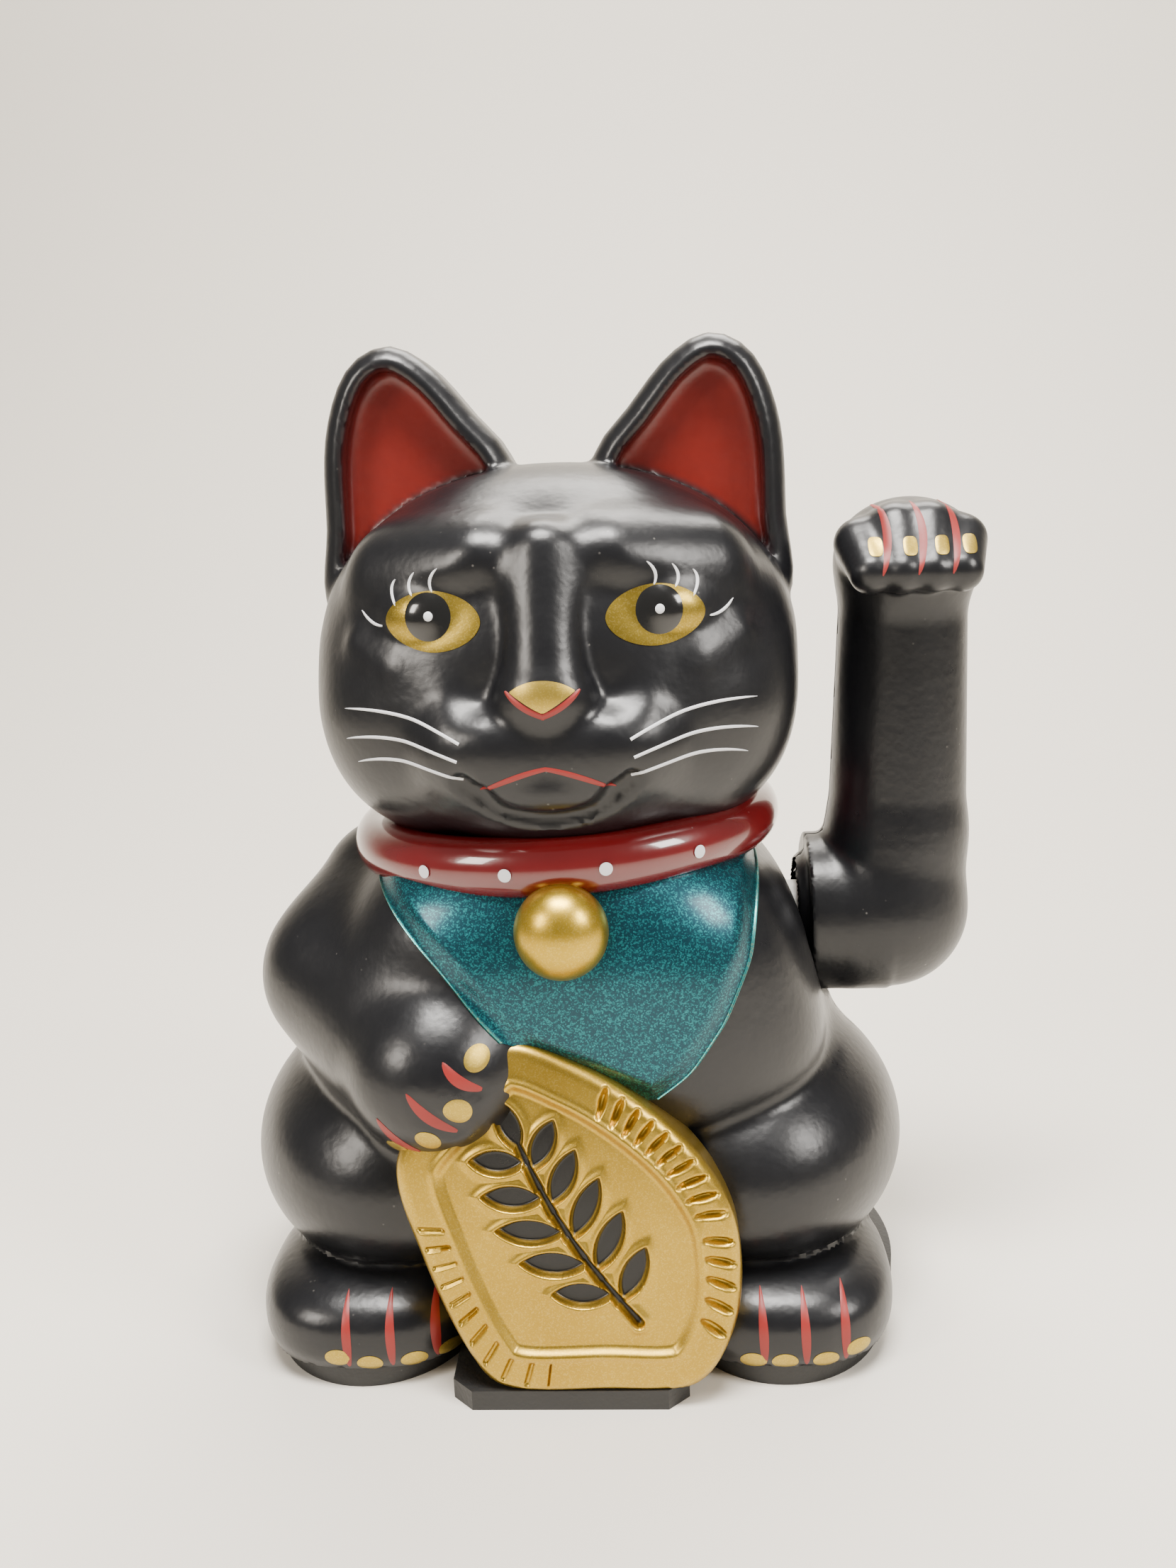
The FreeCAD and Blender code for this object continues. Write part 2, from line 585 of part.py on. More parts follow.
def base_plate():
    """A flat plate that follows the foot of the figure, with the battery bay standing on it."""
    footprints = [("rump", "rump", "0")]
    for side, sign in BOTH_SIDES:
        for mass_name in ("haunch", "foot"):
            footprints.append((mass_name, f"{mass_name}_{side}", f"{sign} * {mass_name}_x"))
    slabs = []
    for mass_name, name, x in footprints:
        y = f"{mass_name}_y"
        radius_x, radius_y = f"{mass_name}_rx - base_inset", f"{mass_name}_ry - base_inset"
        wide = value(f"{mass_name}_rx") > value(f"{mass_name}_ry")
        slabs.append(oval(f"print_{name}", radius_x, radius_y, "base_height", (x, y, "0"), wide))
    slabs.append(base_jut())
    plate = fuse("base_slab", slabs)

    bay = block("bay_box", (f"{BAY_LEFT} - bay_wall", "bay_front - bay_wall", "base_height / 2"),
                (f"{BAY_RIGHT} + bay_wall", f"{BAY_REAR} + bay_wall", f"{BAY_TOP} + bay_wall"))
    posts = [cylinder(f"post_{spot}", "post_radius", "base_height / 2 + board_lift", (*at, "base_height / 2"))
             for spot, at in board_screw_spots().items()]
    solid_base = fuse("base_solid", [plate, bay] + posts)

    room = block("bay_room", (BAY_LEFT, "bay_front", "-1 * base_height"), (BAY_RIGHT, BAY_REAR, BAY_TOP))
    ledge = "door_lift + door_thickness"
    door_room = block("door_room",
                      (f"{BAY_LEFT} - door_border", "bay_front - door_border", "-1 * base_height"),
                      (f"{BAY_RIGHT} + door_border", f"{BAY_REAR} + door_border", ledge))
    pin_holes = hinge_pin("door_pin_holes", "door_pin_radius + running_fit", "door_border + door_pin_length")
    holes = [room, door_room, pin_holes] + [contact_tab(f"slot_{end}", y) for end, y in CONTACTS.items()]
    for side, sign in BOTH_SIDES:
        for end in ("front", "rear"):
            x, y = f"{sign} * boss_{end}_x", f"boss_{end}_y"
            holes.append(cylinder(f"base_hole_{end}_{side}", "screw_radius", "base_height", (x, y, "0")))
            holes.append(cylinder(f"base_sink_{end}_{side}", "screw_head", "screw_head_height", (x, y, "0")))
    for spot, at in (board_screw_spots() | frame_screw_spots()).items():
        low = (*at, "base_height / 2")
        holes.append(cylinder(f"base_pilot_{spot}", "pilot_radius", "base_height + board_lift", low))
    publish(cut("base_drilled", solid_base, holes), "base_plate")


def base_jut():
    """The part of the plate that juts forward under the coin, with its corners cut off."""
    body = doc.addObject("PartDesign::Body", "jut")
    corners = [
        ("-1 * jut_width / 2", "-1 * coin_jut"), ("jut_width / 2", "-1 * coin_jut"),
        ("jut_width / 2 + base_height", "base_height - coin_jut"), ("jut_width / 2 + base_height", "0"),
        ("-1 * jut_width / 2 - base_height", "0"),
        ("-1 * jut_width / 2 - base_height", "base_height - coin_jut"),
    ]
    pad(body, "jut_pad", outline(body, "jut_outline", "XY", corners), "base_height")
    return body


DOOR_FRONT = "bay_front - door_border + door_play"
HINGE_Y, HINGE_Z = f"{DOOR_FRONT} + door_thickness / 2", "door_lift + door_thickness / 2"


def hinge_pin(name, radius, beyond):
    """A pin along the hinge of the battery door that passes the bay's sides by a formula."""
    return along_x(name, radius, f"{BAY_LEFT} - ({beyond})", f"{BAY_RIGHT} + {beyond}", HINGE_Y, HINGE_Z)


def battery_door():
    """A flat door under the bay, with a round front edge and a short pin at each end of it."""
    side = "door_border - door_play"
    leaf = block("door_leaf", (f"{BAY_LEFT} - ({side})", HINGE_Y, "door_lift"),
                 (f"{BAY_RIGHT} + {side}", f"{BAY_REAR} + {side}", "door_lift + door_thickness"))
    edge = hinge_pin("door_edge", "door_thickness / 2", side)
    pins = hinge_pin("door_pins", "door_pin_radius", "door_border + door_pin_length - door_play")
    publish(fuse("door_solid", [leaf, edge, pins]), "battery_door")


def contact_tab(name, y):
    """The solder tab that a contact passes up through the roof of the bay."""
    low = (f"{CELL_X} - tab_width / 2", y, CELL_Z)
    high = (f"{CELL_X} + tab_width / 2", f"{y} + contact_thickness", f"{BAY_TOP} + bay_wall + tab_rise")
    return block(name, low, high)


def battery():
    can = [
        ("0", "0"), ("cell_tip_radius", "0"), ("cell_tip_radius", "cell_tip"),
        ("cell_radius", "cell_tip"), ("cell_radius", "cell_tip + cell_length"),
        ("0", "cell_tip + cell_length"),
    ]
    start = "bay_front + contact_thickness"
    publish(turned("cell", can, (CELL_X, start, CELL_Z), TO_Y), "battery_cell")
    for end, y in CONTACTS.items():
        low = (f"{CELL_X} - contact_width / 2", y, f"{CELL_Z} - contact_height / 2")
        high = (f"{CELL_X} + contact_width / 2", f"{y} + contact_thickness", f"{CELL_Z} + contact_height / 2")
        pieces = [block(f"contact_{end}", low, high), contact_tab(f"tab_{end}", y)]
        publish(fuse(f"contact_with_tab_{end}", pieces), f"battery_contact_{end}")
    publish(battery_spring(), "battery_spring")


POINTS_PER_TURN = 12


def battery_spring():
    """A coil spring of round wire between the cell's flat end and the rear contact."""
    wire, radius, turns = value("spring_wire"), value("spring_radius"), value("spring_turns")
    rise = value("spring_room") - 2 * wire
    steps = int(POINTS_PER_TURN * turns)
    helix = []
    for step in range(steps + 1):
        turn = 2 * math.pi * turns * step / steps
        helix.append(Vector(radius * math.cos(turn), radius * math.sin(turn), rise * step / steps))
    curve = Part.BSplineCurve()
    curve.interpolate(helix)
    start = curve.tangent(curve.FirstParameter)[0]
    ring = Part.Wire(Part.Edge(Part.Circle(helix[0], start, wire)))
    spring = doc.addObject("Part::Feature", "spring_coil")
    spring.Shape = Part.Wire(curve.toShape()).makePipeShell([ring], True, False)
    return put(spring, (CELL_X, f"{CELL_END} + spring_wire", CELL_Z), about(X, -90))


# ---- circuit board ----

def board_screw_spots():
    """Centres of the two board posts, as x and y."""
    reach = "(board_length / 2 - post_inset)"
    return {"left": (f"lever_x - {reach}", BOARD_Y), "right": (f"lever_x + {reach}", BOARD_Y)}


def circuit_board():
    body = doc.addObject("PartDesign::Body", "board")
    low = ("lever_x - board_length / 2", f"{BOARD_Y} - board_width / 2")
    high = ("lever_x + board_length / 2", f"{BOARD_Y} + board_width / 2")
    underside = "base_height + board_lift"
    edge = outline(body, "board_outline", "XY", rectangle(low, high), underside)
    pad(body, "board_pad", edge, "board_thickness")
    circles = [(*at, "screw_radius") for at in board_screw_spots().values()]
    drill(body, "board_holes", rings(body, "board_circles", "XY", circles, underside))
    publish(body, "circuit_board")

    chip = block("chip", ("lever_x - chip_length / 2", f"{BOARD_Y} - chip_width / 2", BOARD_TOP_Z),
                 ("lever_x + chip_length / 2", f"{BOARD_Y} + chip_width / 2", f"{BOARD_TOP_Z} + chip_height"))
    publish(chip, "control_chip")
    can_at = ("lever_x + can_out", f"{BOARD_Y} - can_forward", BOARD_TOP_Z)
    publish(cylinder("can", "can_radius", "can_height", can_at), "capacitor")
    case_at = ("lever_x - transistor_out", f"{BOARD_Y} + transistor_back", BOARD_TOP_Z)
    publish(cylinder("transistor_case", "transistor_radius", "transistor_height", case_at), "transistor")
    resistor = along_x("resistor_rod", "resistor_radius", "lever_x - resistor_length / 2",
                       "lever_x + resistor_length / 2", f"{BOARD_Y} - resistor_forward",
                       f"{BOARD_TOP_Z} + resistor_radius")
    publish(resistor, "resistor")


# ---- screws and wires ----

def screw_profile(reach):
    """Half the outline of a pan-head screw, its head's top at the origin and its tip at +Z."""
    tip = f"screw_head_height + {reach}"
    return [
        ("0", "0"), ("screw_head", "0"), ("screw_head", "screw_head_height"),
        ("pilot_radius", "screw_head_height"), ("pilot_radius", tip), ("0", tip),
    ]


def screws():
    """Three sizes of screw, each a group of separate solids."""
    groups = {"base_screws": [], "board_screws": [], "frame_screws": []}
    for side, sign in BOTH_SIDES:
        for end in ("front", "rear"):
            at = (f"{sign} * boss_{end}_x", f"boss_{end}_y", "0")
            profile = screw_profile("base_height + screw_length - screw_head_height")
            groups["base_screws"].append(turned(f"base_screw_{end}_{side}", profile, at))
    for spot, at in board_screw_spots().items():
        head = (*at, f"{BOARD_TOP_Z} + screw_head_height")
        profile = screw_profile("board_thickness + board_lift")
        groups["board_screws"].append(turned(f"board_screw_{spot}", profile, head, about(X, 180)))
    for spot, at in frame_screw_spots().items():
        head = (*at, "base_height + frame_floor + screw_head_height")
        profile = screw_profile("frame_floor + base_height / 2")
        groups["frame_screws"].append(turned(f"frame_screw_{spot}", profile, head, about(X, 180)))
    for label, members in groups.items():
        group = doc.addObject("Part::Compound", f"{label}_group")
        group.Links = members
        publish(group, label)


def wire_run(points):
    """A round wire along straight runs, joined by arcs as large as the runs allow."""
    corners = [Vector(*point) for point in points]
    edges, start = [], corners[0]
    for before, corner, after in zip(corners, corners[1:], corners[2:]):
        reach = 0.45 * min((corner - before).Length, (after - corner).Length)
        into, away = (corner - before).normalize(), (after - corner).normalize()
        half_turn = into.getAngle(away) / 2
        bend = reach / math.tan(half_turn)
        inward = (away - into).normalize()
        middle = corner + inward * (bend / math.cos(half_turn) - bend)
        entry, leave = corner - into * reach, corner + away * reach
        edges += [Part.LineSegment(start, entry).toShape(), Part.Arc(entry, middle, leave).toShape()]
        start = leave
    edges.append(Part.LineSegment(start, corners[-1]).toShape())
    path = Part.Wire(edges)
    ring = Part.Wire(Part.Edge(Part.Circle(corners[0], corners[1] - corners[0], value("wire_radius"))))
    return path.makePipeShell([ring], True, False)


def wires():
    """The battery's two leads, and the coil's two, to the top of the circuit board."""
    board_top = number(BOARD_TOP_Z)
    board_y = (value("seam_y") - value("frame_depth") / 2 - value("frame_tab") - value("board_gap")
               - value("board_width") / 2)
    reach = value("board_width") / 2 - value("solder_inset")
    front, rear = board_y - reach, board_y + reach
    left_end = value("lever_x") - value("board_length") / 2 + value("solder_inset") + 1.0
    tab_x = number(CELL_X) + value("tab_width") / 2
    tab_z = number(f"{BAY_TOP} + bay_wall + tab_rise") - 1.4 * value("wire_radius")
    edge = number(f"{BAY_RIGHT} + bay_wall")
    beside = edge + value("bay_gap") / 2
    front_tab, rear_tab = (number(y) + value("contact_thickness") / 2 for y in CONTACTS.values())
    lead_front = [
        (tab_x, front_tab, tab_z), (edge - 1.2, front_tab, tab_z),
        (beside + 0.4, front_tab - 0.5, tab_z - 3.2),
        (left_end - 2.5, front - 0.6, board_top + 5.5), (left_end, front, board_top + 4.0),
        (left_end, front, board_top),
    ]
    lead_rear = [
        (tab_x, rear_tab, tab_z), (edge - 1.2, rear_tab, tab_z), (beside, rear_tab - 5, tab_z - 2.2),
        (beside + 0.3, rear_tab - 16, tab_z - 5), (beside - 0.2, rear_tab - 29, tab_z - 7),
        (beside, rear_tab - 40, tab_z - 6.5), (left_end - 1.5, rear + 2.5, board_top + 4.5),
        (left_end, rear, board_top + 3.5), (left_end, rear, board_top),
    ]
    runs = {"battery_lead_front": [wire_run(lead_front)], "battery_lead_rear": [wire_run(lead_rear)]}
    runs["coil_leads"] = [wire_run(coil_lead(step, board_top, rear)) for step in (-1, 1)]
    for label, members in runs.items():
        item = doc.addObject("Part::Feature", f"{label}_run")
        item.Shape = members[0] if len(members) == 1 else Part.makeCompound(members)
        publish(item, label)


def coil_lead(step, board_top, rear):
    """One of the coil's ends, straight out from the winding's side and down to the board."""
    middle_x, middle_y, radius = value("lever_x"), value("seam_y"), value("winding_radius")
    across = step * value("coil_lead_spread") / radius
    back = -math.sqrt(1 - across ** 2)
    z = value("base_height") + value("frame_floor") + value("coil_height") * 0.6
    stub = radius + value("coil_lead_stub")
    start = (middle_x + radius * across, middle_y + radius * back, z)
    out = (middle_x + stub * across, middle_y + stub * back, z)
    x = out[0] + step
    return [start, out, (x, (out[1] + rear) / 2, board_top + 4.5),
            (x, rear, board_top + 3.5), (x, rear, board_top)]


shells()
raised_arm()
axle_and_hub()
pendulum()
pivot_frame()
bushes()
coil()
base_plate()
battery_door()
battery()
circuit_board()
screws()
wires()
doc.recompute()

# ---- checks and export ----

failed = [item.Name for item in doc.Objects if {"Invalid", "Error"} & set(item.State)]
for item in sub_parts:
    if item.Shape.isNull() or not item.Shape.isValid():
        failed.append(item.Label)
if failed:
    raise SystemExit(f"not built: {failed}")

os.makedirs("parts", exist_ok=True)
for item in sub_parts:
    item.Shape.exportStep(f"parts/{item.Label}.step")
    box = item.Shape.BoundBox
    print(f"{item.Label:22} {len(item.Shape.Solids)} {item.Shape.Volume:10.1f}",
          f"{box.XMin:7.1f} {box.XMax:7.1f} {box.YMin:7.1f} {box.YMax:7.1f} {box.ZMin:7.1f} {box.ZMax:7.1f}")
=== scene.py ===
import math

import bmesh
import bpy
import numpy as np
from mathutils import Matrix, Vector


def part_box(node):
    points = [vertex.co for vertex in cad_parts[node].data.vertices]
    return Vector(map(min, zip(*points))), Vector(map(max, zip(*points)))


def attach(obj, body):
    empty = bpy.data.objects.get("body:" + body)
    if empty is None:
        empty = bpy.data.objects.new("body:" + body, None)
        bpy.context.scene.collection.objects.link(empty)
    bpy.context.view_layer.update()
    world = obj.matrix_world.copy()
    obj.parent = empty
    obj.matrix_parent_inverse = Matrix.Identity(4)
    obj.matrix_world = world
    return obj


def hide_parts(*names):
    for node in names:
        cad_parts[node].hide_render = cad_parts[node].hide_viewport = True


# A waving cat in moulded black plastic, painted with gold, red, teal and white. The shells are
# sculpted here as rounded masses that flow into each other. Places are in millimetres, in the
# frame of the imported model, and are put into metres when a piece's mesh is made.

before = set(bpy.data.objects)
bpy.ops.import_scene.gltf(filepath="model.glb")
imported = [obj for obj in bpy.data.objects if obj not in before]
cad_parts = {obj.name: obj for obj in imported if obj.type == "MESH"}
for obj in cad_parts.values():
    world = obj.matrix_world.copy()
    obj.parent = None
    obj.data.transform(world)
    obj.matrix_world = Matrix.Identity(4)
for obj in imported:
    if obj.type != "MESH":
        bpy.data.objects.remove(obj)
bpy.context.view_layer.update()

MM = 0.001
SEAM = 4.0
BASE_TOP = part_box("base_plate")[0].z / MM + 3.0
AXLE_Z = 58.8
ARM_SEAT = 37.2
ARM_START = 38.1


# ---- sculpting with signed distances ----

def soft_min(a, b, blend):
    """The lesser of two distances, with a fillet about blend wide where they meet."""
    if blend <= 0:
        return np.minimum(a, b)
    mix = np.clip(0.5 + 0.5 * (b - a) / blend, 0.0, 1.0)
    return b + (a - b) * mix - blend * mix * (1.0 - mix)


def smooth_step(low, high, value):
    share = np.clip((value - low) / (high - low), 0.0, 1.0)
    return share * share * (3.0 - 2.0 * share)


POWER_FLOW = 8.0


def round_mass(centre, radii, power=2.0, power_low=None, taper=0.0, turn=0.0):
    """An ellipsoid: squarer with a higher power, narrower upward with a taper, turned about Z.

    Its lower half can have a power of its own; the two flow into each other about its middle.
    """
    centre, radii = np.array(centre, np.float32), np.array(radii, np.float32)
    cosine, sine = math.cos(math.radians(turn)), math.sin(math.radians(turn))

    def distance(points):
        local = points - centre
        if turn:
            x = cosine * local[:, 0] + sine * local[:, 1]
            local[:, 1] = cosine * local[:, 1] - sine * local[:, 0]
            local[:, 0] = x
        exponent = np.float32(power)
        if power_low:
            upper = smooth_step(-POWER_FLOW, POWER_FLOW, local[:, 2:3])
            exponent = power_low + (power - power_low) * upper
        if taper:
            local[:, 0] /= 1.0 - taper * np.clip(local[:, 2] / radii[2], -1.3, 1.3)
        share = np.maximum(np.abs(local) / radii, 1e-4)
        root = 1.0 / exponent[..., :1] if power_low else 1.0 / power
        size = (share ** exponent).sum(1, keepdims=True) ** root
        slope = (share / size) ** (exponent - 1.0) / radii
        return ((size - 1.0)[:, 0]) / np.sqrt((slope ** 2).sum(1))

    return distance, centre, float(max(radii)) * 1.3


def limb(start, end, start_radius, end_radius):
    """A round limb that tapers from one ball to another."""
    start, end = np.array(start, np.float32), np.array(end, np.float32)
    length = float(np.linalg.norm(end - start))
    axis = (end - start) / length
    lean = (start_radius - end_radius) / length
    rise = math.sqrt(1.0 - lean * lean)

    def distance(points):
        local = points - start
        along = local @ axis
        out = np.sqrt(np.maximum((local ** 2).sum(1) - along ** 2, 0.0))
        place = rise * along - lean * out
        side = rise * out + lean * along - start_radius
        first = np.sqrt(out ** 2 + along ** 2) - start_radius
        last = np.sqrt(out ** 2 + (along - length) ** 2) - end_radius
        return np.where(place < 0, first, np.where(place > rise * length, last, side))

    return distance, (start + end) / 2, length / 2 + max(start_radius, end_radius)


def rod_along_x(radius, start, end, y, z, edge=0.8):
    """A cylinder along X with a rounded edge at its ends."""
    half = (end - start) / 2
    centre = np.array([(start + end) / 2, y, z], np.float32)

    def distance(points):
        local = points - centre
        out = np.sqrt(local[:, 1] ** 2 + local[:, 2] ** 2) - radius + edge
        along = np.abs(local[:, 0]) - half + edge
        outside = np.sqrt(np.maximum(out, 0) ** 2 + np.maximum(along, 0) ** 2)
        return outside + np.minimum(np.maximum(out, along), 0) - edge

    return distance, centre, math.hypot(half, radius)


def ring(centre, ring_radius, radius):
    """A ring that stands upright, facing along Y."""
    centre = np.array(centre, np.float32)

    def distance(points):
        local = points - centre
        flat = np.sqrt(local[:, 0] ** 2 + local[:, 2] ** 2) - ring_radius
        return np.sqrt(flat ** 2 + local[:, 1] ** 2) - radius

    return distance, centre, ring_radius + radius


def outline_distance(flat, corners):
    """Signed distance from points to a closed outline of straight edges, negative inside."""
    nearest = np.full(len(flat), 1e9, np.float32)
    inside = np.zeros(len(flat), bool)
    for a, b in zip(corners, np.roll(corners, -1, 0)):
        edge, reach = b - a, flat - a
        share = np.clip((reach @ edge) / (edge @ edge), 0, 1)
        nearest = np.minimum(nearest, ((reach - share[:, None] * edge) ** 2).sum(1))
        if abs(edge[1]) > 1e-6:
            crossed = (a[1] > flat[:, 1]) != (b[1] > flat[:, 1])
            inside ^= crossed & (flat[:, 0] < edge[0] * (flat[:, 1] - a[1]) / edge[1] + a[0])
    return np.sqrt(nearest) * np.where(inside, -1, 1)


def closed_curve(corners, count):
    """A closed smooth curve through the corners of an outline, evenly spaced along its length."""
    corners = np.array(corners, float)
    following, after = np.roll(corners, -1, 0), np.roll(corners, -2, 0)
    before = np.roll(corners, 1, 0)
    share = np.linspace(0, 1, 24, endpoint=False)[:, None]
    runs = []
    for a, b, c, d in zip(before, corners, following, after):
        leave, arrive = (c - a) / 2, (d - b) / 2
        runs.append((2 * share ** 3 - 3 * share ** 2 + 1) * b
                    + (share ** 3 - 2 * share ** 2 + share) * leave
                    + (3 * share ** 2 - 2 * share ** 3) * c
                    + (share ** 3 - share ** 2) * arrive)
    line = np.concatenate(runs + [runs[0][:1]])
    length = np.concatenate([[0], np.cumsum(np.linalg.norm(np.diff(line, axis=0), axis=1))])
    places = np.linspace(0, length[-1], count, endpoint=False)
    return np.stack([np.interp(places, length, line[:, i]) for i in (0, 1)], 1)


def plate(corners, grown, front, back, edge, side=1):
    """An upright plate between two depths: an outline in x and z, grown all round, with round edges."""
    corners = (corners * np.array([side, 1.0])).astype(np.float32)
    middle, half = (front + back) / 2, (back - front) / 2

    def distance(points):
        flat = outline_distance(points[:, [0, 2]], corners) - grown + edge
        deep = np.abs(points[:, 1] - middle) - half + edge
        outside = np.sqrt(np.maximum(flat, 0) ** 2 + np.maximum(deep, 0) ** 2)
        return outside + np.minimum(np.maximum(flat, deep), 0) - edge

    low, high = corners.min(0) - grown, corners.max(0) + grown
    centre = np.array([(low[0] + high[0]) / 2, middle, (low[1] + high[1]) / 2], np.float32)
    return distance, centre, math.hypot(float(np.linalg.norm(high - low)) / 2, half)


FAR_OUTSIDE = 40.0


class Sculpt:
    """A figure built up in steps: each step adds or carves one mass, with its own fillet."""

    def __init__(self):
        self.steps = []

    def add(self, mass, blend=3.0):
        self.steps.append((1.0, *mass, blend))

    def carve(self, mass, blend=1.0):
        self.steps.append((-1.0, *mass, blend))

    def __call__(self, points):
        total = np.full(len(points), FAR_OUTSIDE, np.float32)
        for sign, distance, centre, reach, blend in self.steps:
            away = ((points - centre) ** 2).sum(1)
            near = np.flatnonzero(away < (reach + 2.0 * blend + 5.0) ** 2)
            if len(near):
                mass = distance(points[near])
                total[near] = sign * soft_min(sign * total[near], mass, blend)
        return total


def slope(field, points, value=None, step=0.04):
    """The direction in which a field rises at each point, as unit vectors."""
    value = field(points) if value is None else value
    ways = []
    for axis in np.eye(3, dtype=np.float32) * step:
        ways.append(field(points + axis) - value)
    way = np.stack(ways, 1)
    return way / np.maximum(np.linalg.norm(way, axis=1), 1e-9)[:, None]


def settle(field, points, rounds=3, most=0.5):
    """Points moved along the slope until they lie on the field's surface."""
    for _ in range(rounds):
        value = field(points)
        move = np.clip(value, -most, most)
        points = points - slope(field, points, value) * move[:, None]
    return points


def behind(field, across, up, start=-62.0, rounds=60):
    """The surface points met first by looking along +Y at each (x, z)."""
    points = np.stack([across, np.full(len(across), start), up], 1).astype(np.float32)
    for _ in range(rounds):
        points[:, 1] += np.clip(field(points) * 0.75, -0.5, 4.0)
    points[:, 1] = np.minimum(points[:, 1], SEAM - 0.5)
    return points


def field_on_grid(field, low, shape, step, block=6):
    """The field at each grid point near the surface, and only its sign far from it."""
    values = np.empty(shape, np.float32)
    counts = [math.ceil(count / block) for count in shape]
    middles = [low[axis] + (np.arange(counts[axis]) + 0.5) * block * step for axis in range(3)]
    coarse = np.stack(np.meshgrid(*middles, indexing="ij"), -1).reshape(-1, 3).astype(np.float32)
    far = field(coarse).reshape(counts)
    reach = block * step * 0.87 * 1.5 + 1.0
    for i in range(counts[0]):
        rows = slice(i * block, min((i + 1) * block, shape[0]))
        spread = np.repeat(np.repeat(far[i], block, 0), block, 1)[:shape[1], :shape[2]]
        values[rows] = spread[None]
        near = np.argwhere(np.abs(far[i]) < reach)
        if len(near) == 0:
            continue
        mask = np.zeros(shape[1:], bool)
        for j, k in near:
            mask[j * block:(j + 1) * block, k * block:(k + 1) * block] = True
        cells = np.argwhere(mask)
        for row in range(rows.start, rows.stop):
            points = np.empty((len(cells), 3), np.float32)
            points[:, 0] = low[0] + row * step
            points[:, 1:] = np.array(low[1:]) + cells * step
            values[row][mask] = field(points)
    return values


def surface(field, low, high, step):
    """Points and quads over a field's surface inside a box, by joining the cells it crosses."""
    shape = tuple(int(math.ceil((b - a) / step)) + 1 for a, b in zip(low, high))
    values = field_on_grid(field, low, shape, step)
    solid = values < 0

    def corner(grid, offset):
        window = tuple(slice(o, n - 1 + o) for o, n in zip(offset, shape))
        return grid[window]

    offsets = [(i, j, k) for i in (0, 1) for j in (0, 1) for k in (0, 1)]
    filled = sum(corner(solid, offset).astype(np.int8) for offset in offsets)
    mixed = (filled > 0) & (filled < 8)
    index = np.full(mixed.shape, -1, np.int64)
    index[mixed] = np.arange(mixed.sum())
    cells = np.argwhere(mixed).astype(np.float32)
    total, count = np.zeros_like(cells), np.zeros(len(cells), np.float32)
    for offset in offsets:
        for axis in range(3):
            if offset[axis]:
                continue
            other = tuple(offset[i] + (i == axis) for i in range(3))
            a, b = corner(values, offset)[mixed], corner(values, other)[mixed]
            crossed = (a < 0) != (b < 0)
            share = a[crossed] / (a[crossed] - b[crossed])
            place = np.tile(np.array(offset, np.float32), (crossed.sum(), 1))
            place[:, axis] += share
            total[crossed] += place
            count[crossed] += 1
    points = np.array(low, np.float32) + (cells + total / count[:, None]) * step
    quads = []
    for axis in range(3):
        u, v = [(axis + 1) % 3, (axis + 2) % 3]
        along = [slice(0, n) for n in shape]
        along[axis] = slice(0, shape[axis] - 1)
        a = solid[tuple(along)]
        along[axis] = slice(1, shape[axis])
        b = solid[tuple(along)]
        for leaving in (True, False):
            edges = np.argwhere(a & ~b if leaving else ~a & b)
            inside = (edges[:, [u, v]] > 0) & (edges[:, [u, v]] < np.array([shape[u], shape[v]]) - 1)
            edges = edges[inside.all(1)]
            around = []
            for du, dv in ((-1, -1), (0, -1), (0, 0), (-1, 0)):
                cell = edges.copy()
                cell[:, u] += du
                cell[:, v] += dv
                around.append(index[tuple(cell.T)])
            ringed = np.stack(around, 1)
            quads.append(ringed if leaving else ringed[:, ::-1])
    return points, np.concatenate(quads)


# ---- making pieces ----

def new_piece(name, points, faces, body, slot, material, smooth_angle=40.0):
    """A mesh piece from points in millimetres that rides on a body."""
    mesh = bpy.data.meshes.new(name)
    corners = (np.asarray(points, float) * MM).tolist()
    mesh.from_pydata(corners, [], [list(map(int, face)) for face in faces])
    mesh.validate()
    work = bmesh.new()
    work.from_mesh(mesh)
    bmesh.ops.recalc_face_normals(work, faces=work.faces)
    work.to_mesh(mesh)
    work.free()
    piece = bpy.data.objects.new(name, mesh)
    bpy.context.scene.collection.objects.link(piece)
    mesh.materials.append(material)
    mesh.shade_smooth()
    mesh.set_sharp_from_angle(angle=math.radians(smooth_angle))
    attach(piece, body)
    return piece


def grid_faces(rows, columns, closed=False):
    """Quads over a grid of points; closed joins the last column to the first."""
    quads = []
    for row in range(rows - 1):
        for column in range(columns if closed else columns - 1):
            after = (column + 1) % columns
            quads.append((row * columns + column, row * columns + after,
                          (row + 1) * columns + after, (row + 1) * columns + column))
    return quads


def film(field, across, up, rise, rows, columns, closed=False, sink=0.3):
    """A thin closed skin: its outer points stand rise above the surface, and their twins lie under it."""
    on = settle(field, behind(field, across, up), rounds=2)
    way = slope(field, on)
    top = on + way * rise[:, None]
    under = on - way * sink
    quads = grid_faces(rows, columns, closed)
    count = rows * columns
    under_quads = [tuple(count + corner for corner in reversed(quad)) for quad in quads]
    if closed:
        loop = list(range((rows - 1) * columns, rows * columns))
        quads.append(tuple(range(columns))[::-1])
        under_quads.append(tuple(range(count, count + columns)))
    else:
        loop = [row * columns for row in range(1, rows - 1)]
        loop += list(range((rows - 1) * columns, rows * columns))
        loop += [row * columns + columns - 1 for row in range(rows - 2, 0, -1)]
        loop += list(range(columns - 1, -1, -1))
    sides = [(b, a, count + a, count + b) for a, b in zip(loop, loop[1:] + loop[:1])]
    return np.concatenate([top, under]), quads + under_quads + sides


